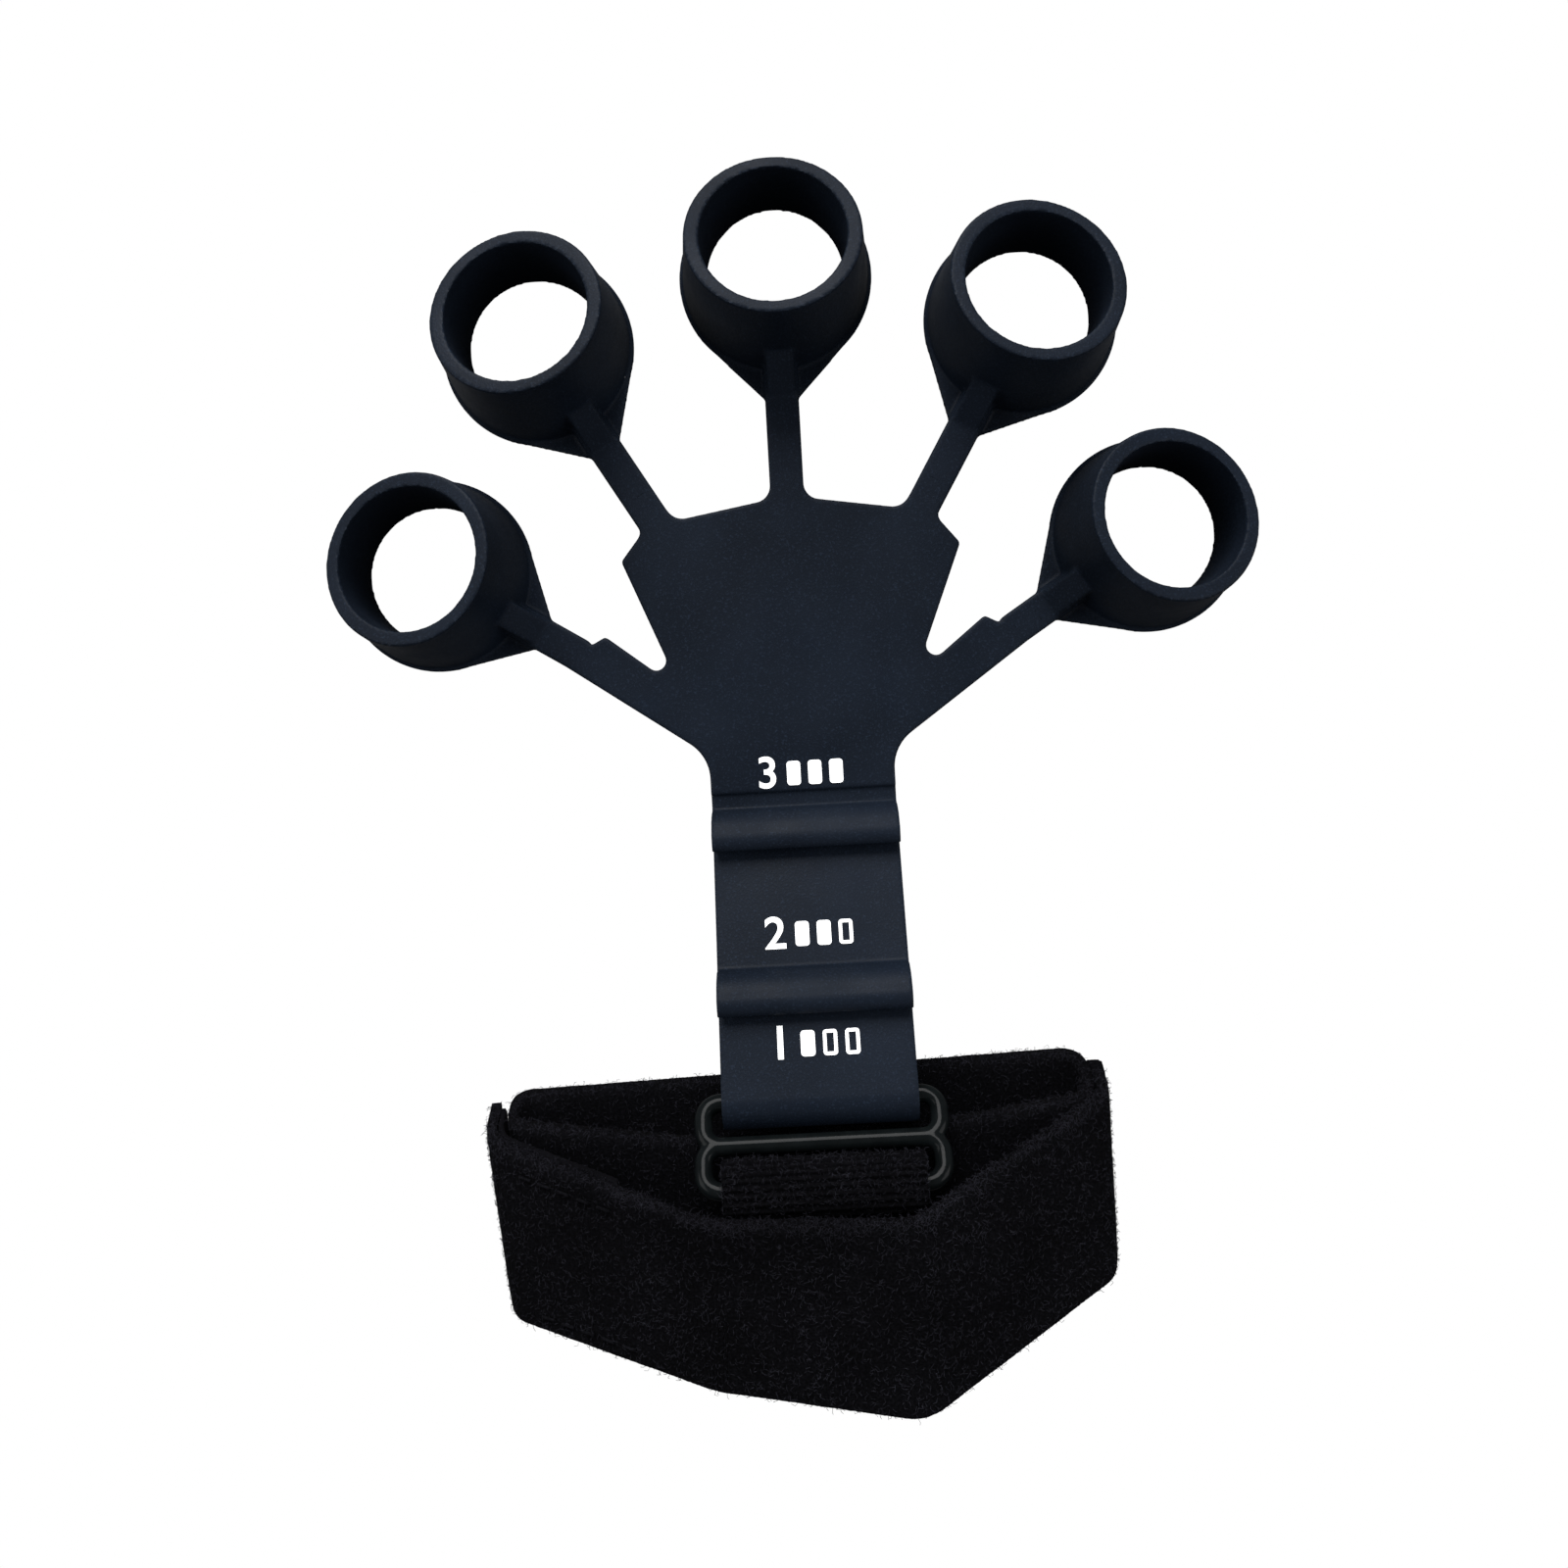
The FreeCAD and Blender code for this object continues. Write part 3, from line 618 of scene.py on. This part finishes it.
class ExerciserMoulding(Operator):
    """Makes the pad, the arms, the finger loops and the pull strap as one skin, cut where it bends"""

    bl_idname = "exerciser.moulding"
    bl_label = "Silicone moulding"

    def execute(self, context):
        sizes = context.scene.exerciser_moulding
        names = ["palm_pad", "strap_root", "strap_middle", "strap_hook"]
        for finger in FINGERS:
            names += [f"{finger}_arm", f"{finger}_loop"]
        solids = [copy_of(node, node + "_copy") for node in names] + bridge_gaps()
        whole = join(solids, "palm_skin")
        soften(whole, by_speed(sizes.grain), sizes.rounding)
        for finger in FINGERS:
            self.part_finger(whole, finger)
        self.part_strap(whole)
        dress(whole, "silicone", "silicone", "palm_pad")
        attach(whole, "palm")
        return {"FINISHED"}

    def part_finger(self, whole, finger):
        line = FingerLine(finger)
        room = line.back_radius + LOOP_ROOM
        loop = cut_off(whole, f"{finger}_loop_skin", line.at(ARM_CUT), line.out, room)
        arm = cut_off(whole, f"{finger}_arm_skin", line.at(-ARM_CUT), line.out, ARM_ROOM)
        shade(arm, 50)
        shade(loop, 50)
        dress(arm, "silicone", "silicone", f"{finger}_arm")
        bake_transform(arm)
        dress(loop, "silicone", "silicone", f"{finger}_loop")
        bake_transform(loop)

    def part_strap(self, whole):
        strap = StrapLine()
        hook = cut_off(whole, "strap_hook_skin", strap.on_run(HOOK_CUT), strap.run, strap.width)
        place = strap.on_run(STRETCH_BEFORE_FLEX + MIDDLE_CUT)
        middle = cut_off(whole, "strap_middle_skin", place, strap.run, strap.width)
        root = cut_off(whole, "strap_root_skin", strap.bend + ROOT_CUT * DOWN, DOWN, strap.width)
        for piece in (root, middle, hook, whole):
            shade(piece, 50)
        dress(root, "silicone", "silicone", "strap_root")
        dress(middle, "silicone", "silicone", "strap_middle")
        dress(hook, "silicone", "silicone", "strap_hook")
        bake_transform(root)
        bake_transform(middle)
        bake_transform(hook)


INK_T = 0.11 * MM  # half the print's thickness, most of it over the rubber
NUMERAL_HEIGHT = 1.36  # the font's size to the mark's height
NUMERAL_SPREAD = 0.1 * MM
NUMERAL_INSET = 2.1 * MM  # from the mark's left end to the numeral's middle
BAR_WIDTH, BAR_HEIGHT = 2.5 * MM, 0.74  # the height as a part of the mark's
BAR_START, BAR_PITCH = -1.6 * MM, 3.9 * MM
BAR_CORNER, BAR_LINE = 0.6 * MM, 0.62 * MM


class ExerciserLevelMarks(Operator):
    """Prints a numeral and a three-bar gauge above each ridge of the strap"""

    bl_idname = "exerciser.level_marks"
    bl_label = "Level marks"

    def execute(self, context):
        for level, body in ((3, "palm"), (2, "strap_middle"), (1, "strap_hook")):
            self.print_mark(level, body)
        return {"FINISHED"}

    def print_mark(self, level, body):
        node = f"level_mark_{level}"
        low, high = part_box(node)
        lean = 0.0 if body == "palm" else math.atan2(StrapLine().run.z, -StrapLine().run.y)
        length = (high.y - low.y) / math.cos(lean)
        parts = [self.numeral(level, length, high.x - low.x)]
        for i in range(3):
            parts.append(self.gauge_bar(i, i < level, length))
        mark = join(parts, node + "_print")
        mark.matrix_world = Matrix.Translation((low + high) / 2) @ Matrix.Rotation(-lean, 4, "X")
        settle(mark)
        shade(mark, 30)
        dress(mark, "ink", "ink", node)
        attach(mark, body)

    def numeral(self, level, height, width):
        """The level's numeral at the left of the mark."""
        clear()
        bpy.ops.object.text_add()
        text = bpy.context.object
        text.data.body = str(level)
        text.data.size = height * NUMERAL_HEIGHT
        text.data.offset = NUMERAL_SPREAD
        text.data.extrude = INK_T
        text.data.align_x, text.data.align_y = "CENTER", "CENTER"
        bpy.ops.object.convert(target="MESH")
        numeral = bpy.context.object
        numeral.location.x = -width / 2 + NUMERAL_INSET
        return settle(numeral)

    def gauge_bar(self, i, filled, height):
        """One bar of the gauge beside the numeral, hollow where the level is lower."""
        clear()
        bpy.ops.mesh.primitive_plane_add(size=1.0)
        bar = bpy.context.object
        bar.scale = (BAR_WIDTH, height * BAR_HEIGHT, 1.0)
        bar.location.x = BAR_START + i * BAR_PITCH
        settle(bar)
        apply(bar, "BEVEL", width=BAR_CORNER, segments=4, affect="VERTICES")
        if not filled:
            whole_mesh(bar)
            bpy.ops.mesh.inset(thickness=BAR_LINE)
            bpy.ops.mesh.delete(type="FACE")
            bpy.ops.object.mode_set(mode="OBJECT")
        apply(bar, "SOLIDIFY", thickness=2 * INK_T, offset=0.0)
        return bar


class ExerciserBuckle(Operator):
    """Makes the glossy three-bar buckle, its joints melted together"""

    bl_idname = "exerciser.buckle"
    bl_label = "Buckle"

    def execute(self, context):
        frame_piece = copy_of("buckle", "buckle_frame")
        soften(frame_piece, by_speed(0.24 * MM), 6)
        dress(frame_piece, "buckle", "buckle_plastic", "buckle")
        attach(frame_piece, "buckle")
        return {"FINISHED"}


# Webbing. A rib is modelled once, repeated along X and laid between the routes of the webbing's two edges.

ARC_STEPS = 14
RIB_PROFILE = ((0.25, 0.75), (0.5, 1.0), (0.75, 0.75))  # parts of a rib's pitch and of its height
SELVAGE = 0.02  # the plain edge beside the ribs, as a part of the width
RIB_CUTS = 21  # across the width


def arc_points(corners, closed):
    """A route's points, its corners rounded; each corner is a place along X, a height and a radius."""
    points = []
    count = len(corners)
    for i, (x, z, r) in enumerate(corners):
        here = Vector((x, z))
        if not closed and i in (0, count - 1):
            points.append(here)
            continue
        before = Vector(corners[i - 1][:2])
        after = Vector(corners[(i + 1) % count][:2])
        d0, d1 = (here - before).normalized(), (after - here).normalized()
        turn = d0.angle_signed(d1)
        run = r * math.tan(abs(turn) / 2)
        start, end = here - d0 * run, here + d1 * run
        for k in range(ARC_STEPS + 1):
            t = k / ARC_STEPS
            points.append((1 - t) ** 2 * start + 2 * t * (1 - t) * here + t * t * end)
    if closed:
        points.append(points[0])
    return np.array([(p.x, p.y) for p in points])


def route_normals(points, closed):
    """The direction to the left of a route at each of its points."""
    runs = np.diff(points, axis=0)
    runs /= np.linalg.norm(runs, axis=1, keepdims=True)
    before = np.vstack([runs[-1:] if closed else runs[:1], runs])
    after = np.vstack([runs, runs[:1] if closed else runs[-1:]])
    tangents = before + after
    tangents /= np.linalg.norm(tangents, axis=1, keepdims=True)
    return np.stack([-tangents[:, 1], tangents[:, 0]], axis=1)


def route_distances(points):
    steps = np.linalg.norm(np.diff(points, axis=0), axis=1)
    return np.concatenate([[0.0], np.cumsum(steps)])


def lay_between(obj, near, far, closed, width):
    """Bends straight webbing so that one edge follows the near route and the other the far route."""
    co = points_of(obj).astype(float)
    routes = [arc_points(corners, closed) for corners in (near, far)]
    distances = route_distances(routes[0])
    spot = np.interp(co[:, 0], distances, np.arange(len(distances)))
    share = co[:, 2] / width
    laid = np.zeros((len(co), 2))
    for route, part in zip(routes, (1 - share, share)):
        normals = route_normals(route, closed)
        index = np.arange(len(route))
        for axis in range(2):
            place = np.interp(spot, index, route[:, axis])
            place += co[:, 1] * np.interp(spot, index, normals[:, axis])
            laid[:, axis] += part * place
    move_points(obj, np.stack([laid[:, 0], -co[:, 2], laid[:, 1]], axis=1))


def pick_points(obj, test):
    """Selects the points of an edited mesh that pass a test of their place."""
    bpy.ops.mesh.select_mode(type="VERT")
    bm = bmesh.from_edit_mesh(obj.data)
    for v in bm.verts:
        v.select_set(bool(test(v.co)))
    bm.select_flush_mode()
    bmesh.update_edit_mesh(obj.data)


def pick_edges(obj, test):
    bpy.ops.mesh.select_mode(type="EDGE")
    bm = bmesh.from_edit_mesh(obj.data)
    for e in bm.edges:
        e.select_set(bool(test((e.verts[1].co - e.verts[0].co).normalized())))
    bm.select_flush_mode()
    bmesh.update_edit_mesh(obj.data)


def one_rib(pitch, width, thickness, height):
    """One rib of webbing: X along the webbing, Y through it and Z across it, open at both ends."""
    clear()
    bpy.ops.mesh.primitive_cube_add(size=1.0)
    rib = bpy.context.object
    rib.scale = (pitch, thickness - 2 * height, width)
    rib.location = (pitch / 2, 0, width / 2)
    settle(rib)
    take(rib)
    bpy.ops.object.mode_set(mode="EDIT")
    bpy.ops.mesh.select_mode(type="FACE")
    bm = bmesh.from_edit_mesh(rib.data)
    for f in bm.faces:
        f.select_set(abs(f.normal.x) > 0.9)
    bmesh.update_edit_mesh(rib.data)
    bpy.ops.mesh.delete(type="ONLY_FACE")
    pick_edges(rib, lambda d: abs(d.z) > 0.9)
    bpy.ops.mesh.subdivide(number_cuts=RIB_CUTS)
    pick_edges(rib, lambda d: abs(d.x) > 0.9)
    bpy.ops.mesh.subdivide(number_cuts=len(RIB_PROFILE))
    inner = thickness / 2 - height * 1.5
    edge = width * SELVAGE

    def on_ridge(p, share, side):
        between_edges = edge < p.z < width - edge
        return abs(p.x - share * pitch) < pitch * 0.1 and side * p.y > inner and between_edges

    for share, lift in RIB_PROFILE:
        for side in (-1, 1):
            pick_points(rib, lambda p: on_ridge(p, share, side))
            bpy.ops.transform.translate(value=(0, side * lift * height, 0))
    bpy.ops.object.mode_set(mode="OBJECT")
    return rib


def webbing(name, near, far, closed, sizes):
    """Ribbed webbing laid between two routes, then leant over to where the wristband lies."""
    width = band_width()
    length = route_distances(arc_points(near, closed))[-1]
    count = round(length / sizes.rib_pitch)
    rib = one_rib(length / count, width, sizes.thickness, sizes.rib_height)
    apply(rib, "ARRAY", count=count, use_merge_vertices=True, merge_threshold=1e-5)
    lay_between(rib, near, far, closed, width)
    whole_mesh(rib)
    bpy.ops.mesh.remove_doubles(threshold=2e-5)
    bpy.ops.mesh.normals_make_consistent(inside=False)
    bpy.ops.object.mode_set(mode="OBJECT")
    if not closed:
        close_cuts(rib)
    rib.name = rib.data.name = name
    lean_over(rib, band_edge_y())
    return rib


BAND_LEAN = math.tan(math.radians(33.2))
BAND_SKEW = math.tan(math.radians(1.5))


def lean_over(obj, edge_y):
    """Leans and skews webbing that stands square, its edge nearest the fingers at this Y on the floor."""
    shear = Matrix.Identity(4)
    shear[1][0], shear[1][2], shear[1][3] = BAND_SKEW, -BAND_LEAN, edge_y
    obj.data.transform(shear)


def stood_up(co):
    """Y of places on the wristband with the lean and the skew taken out."""
    return co[:, 1] + BAND_LEAN * co[:, 2] - BAND_SKEW * co[:, 0]


def band_edge_y():
    """Y of the wristband's edge nearest the fingers, where X and Z are zero."""
    return stood_up(points_of(frame["nodes"]["wristband"])).max()


def band_width():
    return np.ptp(stood_up(points_of(frame["nodes"]["wristband"])))


def ruffle(obj, size, seed, scale=700.0):
    """Moves the points of a cloth surface a little, smoothly and always in the same way."""
    rng = np.random.default_rng(seed)
    co = points_of(obj)
    normals = vectors(obj.data.vertex_normals, "vector")
    waves = np.zeros(len(co))
    for _ in range(6):
        direction = rng.normal(size=3)
        direction *= scale * rng.uniform(0.5, 2.5) / np.linalg.norm(direction)
        waves += np.sin(co @ direction + rng.uniform(0, 6.28)) / 6
    waves += rng.normal(scale=0.35, size=len(co))
    move_points(obj, co + normals * (size * waves)[:, None])


def grow_pile(name, base, count, seed, sizes, wanted):
    """Short loops of yarn brushed up from the faces of a webbing that pass a test of place and normal."""
    rng = np.random.default_rng(seed)
    mesh = base.data
    centres = centres_of(base)
    normals = vectors(mesh.polygons, "normal")
    areas = np.empty(len(mesh.polygons), np.float32)
    mesh.polygons.foreach_get("area", areas)
    quads = np.array([p.loop_total == 4 for p in mesh.polygons])
    weights = areas * wanted(centres, normals) * quads
    chosen = rng.choice(len(weights), size=count, p=weights / weights.sum())
    corners = np.array([mesh.polygons[int(i)].vertices[:] for i in chosen])
    place = points_of(base)[corners]
    u, v = rng.random((2, count, 1))
    shares = ((1 - u) * (1 - v), u * (1 - v), u * v, (1 - u) * v)
    feet = sum(place[:, i] * share for i, share in enumerate(shares))
    up = normals[chosen]
    drift = rng.normal(size=(count, 3))
    drift -= (drift * up).sum(1, keepdims=True) * up
    drift /= np.linalg.norm(drift, axis=1, keepdims=True)
    side = np.cross(up, drift)
    length = sizes.pile_length * rng.uniform(0.5, 1.3, (count, 1))
    height = sizes.pile_height * rng.uniform(0.35, 1.25, (count, 1))
    thick = sizes.pile_thickness * rng.uniform(0.7, 1.2, (count, 1)) / 2
    bow = rng.uniform(-0.35, 0.35, (count, 1)) * length
    rings = (
        feet - up * height * 0.3,
        feet + up * height + drift * length * 0.5 + side * bow,
        feet - up * height * 0.2 + drift * length,
    )
    verts = np.empty((count, 3, 3, 3))
    for i, ring in enumerate(rings):
        for k in range(3):
            a = 2 * math.pi * k / 3
            verts[:, i, k] = ring + (side * math.cos(a) + up * math.sin(a)) * thick
    start = 9 * np.arange(count)[:, None]
    loops = []
    for i in range(2):
        for k in range(3):
            n = (k + 1) % 3
            loops.append(start + np.array([[3 * i + k, 3 * i + n, 3 * i + 3 + n, 3 * i + 3 + k]]))
    sides = np.concatenate(loops).tolist()
    ends = np.concatenate([start + np.array([[2, 1, 0]]), start + np.array([[6, 7, 8]])]).tolist()
    data = bpy.data.meshes.new(name)
    data.from_pydata(verts.reshape(-1, 3).tolist(), [], sides + ends)
    data.update()
    pile = bpy.data.objects.new(name, data)
    bpy.context.scene.collection.objects.link(pile)
    whole_mesh(pile)
    bpy.ops.mesh.normals_make_consistent(inside=False)
    bpy.ops.object.mode_set(mode="OBJECT")
    return pile


def off_floor(centres, normals):
    """Faces that can carry pile, most of it at the edge nearest the fingers."""
    free = (centres[:, 2] > FLOOR_MARGIN) | (normals[:, 2] > -0.3)
    from_edge = band_edge_y() - stood_up(centres)
    return free * np.where(from_edge < FUZZY_EDGE, EDGE_PILE, 1.0)


FLOOR_MARGIN = 0.8 * MM
FUZZY_EDGE, EDGE_PILE = 0.7 * MM, 5.0  # how wide the fuzzy edge is and how much thicker its pile
CLOTH_RUFFLE = 0.06 * MM

# The routes of the webbing's middle line: how far below the loop's top its ends turn, and the radii.
LEFT_TWIST = 3.0 * MM  # how much further in the band's left end lies at its far edge
LOOP_FLAT = 20.2 * MM  # half the length of the level top
LOOP_EASE_R = 29.0 * MM
RIGHT_DROP, RIGHT_R = 3.5 * MM, 3.9 * MM
LEFT_DROP, LEFT_R = 6.5 * MM, 2.9 * MM
LEFT_FAR_DROP, LEFT_FAR_R = 9.0 * MM, 1.3 * MM

# The flap's corners: a height and a radius, or a place along X, a height and a radius.
STUB_DEPTH = 1.9 * MM
SHOULDER = (10.2 * MM, 5.0 * MM)
CREST = (14.5 * MM, 30.3 * MM, 10.0 * MM)
BROW_X, BROW_R = -20.0 * MM, 25.0 * MM
FLAP_MARGIN = 0.05 * MM  # inside the CAD flap's left side
# Heights of the brow, of the bend at the left and of the tip, and the bend's radius.
FLAP_NEAR = (28.0 * MM, 10.0 * MM, 2.5 * MM, 6.0 * MM)
FLAP_FAR = (23.8 * MM, 9.8 * MM, 2.4 * MM, 4.5 * MM)


def loop_route(t, far):
    """The middle line of the wristband's loop at one edge; its left end lies lower at the far edge."""
    low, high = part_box("wristband")
    left, right, top = low.x + t / 2, high.x - t / 2, high.z - t / 2
    left_top, left_r = top - LEFT_DROP, LEFT_R
    if far:
        left, left_top, left_r = left + LEFT_TWIST, top - LEFT_FAR_DROP, LEFT_FAR_R
    return [
        (right, t / 2, RIGHT_R),
        (right, top - RIGHT_DROP, RIGHT_R),
        (LOOP_FLAT, top, LOOP_EASE_R),
        (-LOOP_FLAT, top, LOOP_EASE_R),
        (left, left_top, left_r),
        (left, t / 2, left_r),
    ]


class ExerciserWristband(Operator):
    """Makes the wristband's loop of ribbed webbing and its brushed pile"""

    bl_idname = "exerciser.wristband"
    bl_label = "Wristband loop"

    def execute(self, context):
        sizes = context.scene.exerciser_webbing
        near, far = (loop_route(sizes.thickness, edge) for edge in (False, True))
        loop = webbing("loop_webbing", near, far, True, sizes)
        ruffle(loop, CLOTH_RUFFLE, 3)
        shade(loop)
        pile = grow_pile("loop_pile", loop, by_speed(13000), 11, sizes, off_floor)
        dress(loop, "webbing", "webbing", "wristband")
        dress(pile, "pile", "webbing")
        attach(loop, "wristband")
        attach(pile, "wristband")
        return {"FINISHED"}


def flap_route(t, far):
    """The flap's middle line at one edge, from inside the seam over the crest to the tip at the left."""
    root = Vector(JOINTS["flap_peel"]["pos_m"])
    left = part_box("wristband_flap")[0].x + t / 2 + FLAP_MARGIN
    brow, bend, tip, bend_r = FLAP_FAR if far else FLAP_NEAR
    if far:
        left += LEFT_TWIST
    return [
        (root.x, root.z - STUB_DEPTH, 0),
        (root.x, *SHOULDER),
        CREST,
        (BROW_X, brow, BROW_R),
        (left, bend, bend_r),
        (left, tip, 0),
    ]


class ExerciserFlap(Operator):
    """Makes the flap that closes over the wristband, with its brushed pile"""

    bl_idname = "exerciser.flap"
    bl_label = "Wristband flap"

    def execute(self, context):
        sizes = context.scene.exerciser_webbing
        near, far = (flap_route(sizes.thickness, edge) for edge in (False, True))
        flap = webbing("flap_webbing", near, far, False, sizes)
        ruffle(flap, CLOTH_RUFFLE, 5)
        shade(flap, 60)
        pile = grow_pile("flap_pile", flap, by_speed(14000), 17, sizes, off_floor)
        dress(flap, "webbing", "webbing", "wristband_flap")
        dress(pile, "pile", "webbing")
        for piece in (flap, pile):
            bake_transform(piece)
        return {"FINISHED"}


TAB_BEND_R, TAB_SLACK = 4.0 * MM, 2.0 * MM
TAB_RIB_PITCH, TAB_RIB_DEPTH = 1.4 * MM, 0.28 * MM
TAB_RUFFLE = 0.05 * MM


class ExerciserTab(Operator):
    """Makes the folded webbing tab that holds the buckle, and the thread that sews it down"""

    bl_idname = "exerciser.tab"
    bl_label = "Webbing tab"

    def execute(self, context):
        sizes = context.scene.exerciser_webbing
        tab = copy_of("webbing_tab", "tab_webbing")
        soften(tab, by_speed(0.28 * MM), 4)
        self.rib(tab)
        ruffle(tab, TAB_RUFFLE, 7)
        pile = grow_pile("tab_pile", tab, by_speed(4200), 19, sizes, off_floor)
        dress(tab, "webbing", "webbing", "webbing_tab")
        dress(pile, "pile", "webbing")
        thread = copy_of("tab_stitches", "tab_thread")
        shade(thread, 40)
        dress(thread, "thread", "thread", "tab_stitches")
        for piece in (tab, pile, thread):
            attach(piece, "wristband")
        return {"FINISHED"}

    def rib(self, tab):
        """Raises ribs across the tab, parallel to the bar that it goes round."""
        bar = Vector(JOINTS["tab_turn"]["pos_m"])
        co = points_of(tab)
        normals = vectors(tab.data.vertex_normals, "vector")
        y, z = co[:, 1] - bar.y - TAB_SLACK, co[:, 2] - bar.z
        straight = np.sign(z) * (math.pi / 2 * TAB_BEND_R - y)
        around = np.where(y > 0, np.arctan2(z, y) * TAB_BEND_R, straight)
        wave = np.cos(2 * math.pi * around / TAB_RIB_PITCH)
        lift = TAB_RIB_DEPTH * (wave - 1) * (np.abs(normals[:, 0]) < 0.5)
        move_points(tab, co + normals * lift[:, None])


class ExerciserHookTape(Operator):
    """Makes the seam, the hook tape under the flap's free end and the thread that holds it"""

    bl_idname = "exerciser.hook_tape"
    bl_label = "Seam and hook tape"

    def execute(self, context):
        seam = copy_of("flap_seam", "seam_fold")
        soften(seam, by_speed(0.25 * MM), 6)
        ruffle(seam, CLOTH_RUFFLE, 23)
        dress(seam, "webbing", "webbing", "flap_seam")
        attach(seam, "wristband")
        tape = copy_of("hook_patch", "hook_tape")
        soften(tape, by_speed(0.3 * MM), 3)
        dress(tape, "hooks", "hook_tape", "hook_patch")
        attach(tape, "flap")
        thread = copy_of("flap_stitches", "flap_thread")
        shade(thread, 40)
        dress(thread, "thread", "thread", "flap_stitches")
        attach(thread, "flap")
        return {"FINISHED"}


# Softboxes: name, place, size and power.
LIGHTS = (
    ("softbox_far", (-0.15, 1.15, 0.8), 1.0, 44.0),
    ("softbox_left", (-1.05, 0.1, 0.75), 0.8, 8.0),
    ("softbox_right", (1.05, -0.1, 0.75), 0.8, 8.0),
    ("softbox_near", (0.2, -1.2, 0.9), 0.8, 1.5),
)
WORLD_LIGHT = 0.35
FLOOR_Z = -0.0004
CAMERA_PLACE = (0.00036, -0.00163, 0.23772)
CAMERA_TURN = ((0.009, "X"), (-0.016, "Y"), (0.055, "Z"))  # radians, from straight down
LENS, SENSOR = 29.25, 36.0


def glow_for_camera(tree, shader):
    """Makes a surface evenly white to the camera and leaves it as it is to the lights."""
    glow = tree.nodes.new("ShaderNodeEmission")
    glow.inputs["Strength"].default_value = 1.0
    mixer = tree.nodes.new("ShaderNodeMixShader")
    seen = tree.nodes.new("ShaderNodeLightPath").outputs["Is Camera Ray"]
    tree.links.new(seen, mixer.inputs[0])
    tree.links.new(shader.outputs[0], mixer.inputs[1])
    tree.links.new(glow.outputs[0], mixer.inputs[2])
    tree.links.new(mixer.outputs[0], tree.nodes["Material Output"].inputs["Surface"])


class ExerciserStage(Operator):
    """Makes the pale floor, the soft lights and the camera over the exerciser"""

    bl_idname = "exerciser.stage"
    bl_label = "Floor, lights and camera"

    def execute(self, context):
        self.floor()
        for light in LIGHTS:
            self.light(*light)
        world = bpy.data.worlds.new("studio")
        world.use_nodes = True
        world.node_tree.nodes["Background"].inputs["Color"].default_value = (1.0, 1.0, 1.0, 1.0)
        world.node_tree.nodes["Background"].inputs["Strength"].default_value = WORLD_LIGHT
        context.scene.world = world
        context.scene.view_settings.view_transform = "Standard"
        self.camera()
        return {"FINISHED"}

    def floor(self):
        clear()
        bpy.ops.mesh.primitive_plane_add(size=6.0, location=(0, 0, FLOOR_Z))
        floor = settle(bpy.context.object, "pale_floor")
        material, tree, shader, place = nodes_of("pale_backdrop")
        soft = ramp(tree, noise(tree, place, 6.0), [(0.3, grey(0.1)), (0.7, grey(0.12))])
        tree.links.new(soft, shader.inputs["Base Color"])
        shader.inputs["Roughness"].default_value = 0.9
        shader.inputs["Specular IOR Level"].default_value = 0.12
        glow_for_camera(tree, shader)
        floor.data.materials.append(material)

    def light(self, name, place, size, power):
        data = bpy.data.lights.new(name, "AREA")
        data.size = size
        data.energy = power
        lamp = bpy.data.objects.new(name, data)
        lamp.location = place
        lamp.rotation_euler = (-Vector(place)).to_track_quat("-Z", "Y").to_euler()
        bpy.context.scene.collection.objects.link(lamp)

    def camera(self):
        data = bpy.data.cameras.new("overhead_camera")
        data.sensor_width = SENSOR
        data.lens = LENS
        data.clip_start = 0.01
        camera = bpy.data.objects.new("overhead_camera", data)
        turn = Matrix.Identity(3)
        for angle, axis in CAMERA_TURN:
            turn = turn @ Matrix.Rotation(angle, 3, axis)
        camera.matrix_world = Matrix.Translation(CAMERA_PLACE) @ turn.transposed().to_4x4()
        bpy.context.scene.collection.objects.link(camera)
        bpy.context.scene.camera = camera


OPERATORS = (
    ExerciserMoulding,
    ExerciserLevelMarks,
    ExerciserBuckle,
    ExerciserWristband,
    ExerciserFlap,
    ExerciserTab,
    ExerciserHookTape,
    ExerciserStage,
)


class ExerciserPanel(Panel):
    """Lists the sizes, the colours and the pieces"""

    bl_idname = "VIEW3D_PT_exerciser"
    bl_label = "Finger exerciser"
    bl_space_type = "VIEW_3D"
    bl_region_type = "UI"
    bl_category = "Exerciser"

    def draw(self, context):
        for settings in (
            context.scene.exerciser_moulding,
            context.scene.exerciser_webbing,
            context.scene.exerciser_colours,
        ):
            box = self.layout.box()
            for name in settings.__annotations__:
                box.prop(settings, name)
        for operator in OPERATORS:
            self.layout.operator(operator.bl_idname)


CLASSES = (MouldingSizes, WebbingSizes, Colours, *OPERATORS, ExerciserPanel)


def register():
    for cls in CLASSES:
        bpy.utils.register_class(cls)
    bpy.types.Scene.exerciser_moulding = PointerProperty(type=MouldingSizes)
    bpy.types.Scene.exerciser_webbing = PointerProperty(type=WebbingSizes)
    bpy.types.Scene.exerciser_colours = PointerProperty(type=Colours)


def unregister():
    del bpy.types.Scene.exerciser_colours
    del bpy.types.Scene.exerciser_webbing
    del bpy.types.Scene.exerciser_moulding
    for cls in reversed(CLASSES):
        bpy.utils.unregister_class(cls)


def main():
    register()
    clear()
    bpy.ops.exerciser.moulding()
    bpy.ops.exerciser.level_marks()
    bpy.ops.exerciser.buckle()
    bpy.ops.exerciser.wristband()
    bpy.ops.exerciser.flap()
    bpy.ops.exerciser.tab()
    bpy.ops.exerciser.hook_tape()
    bpy.ops.exerciser.stage()


if __name__ == "__main__":
    main()
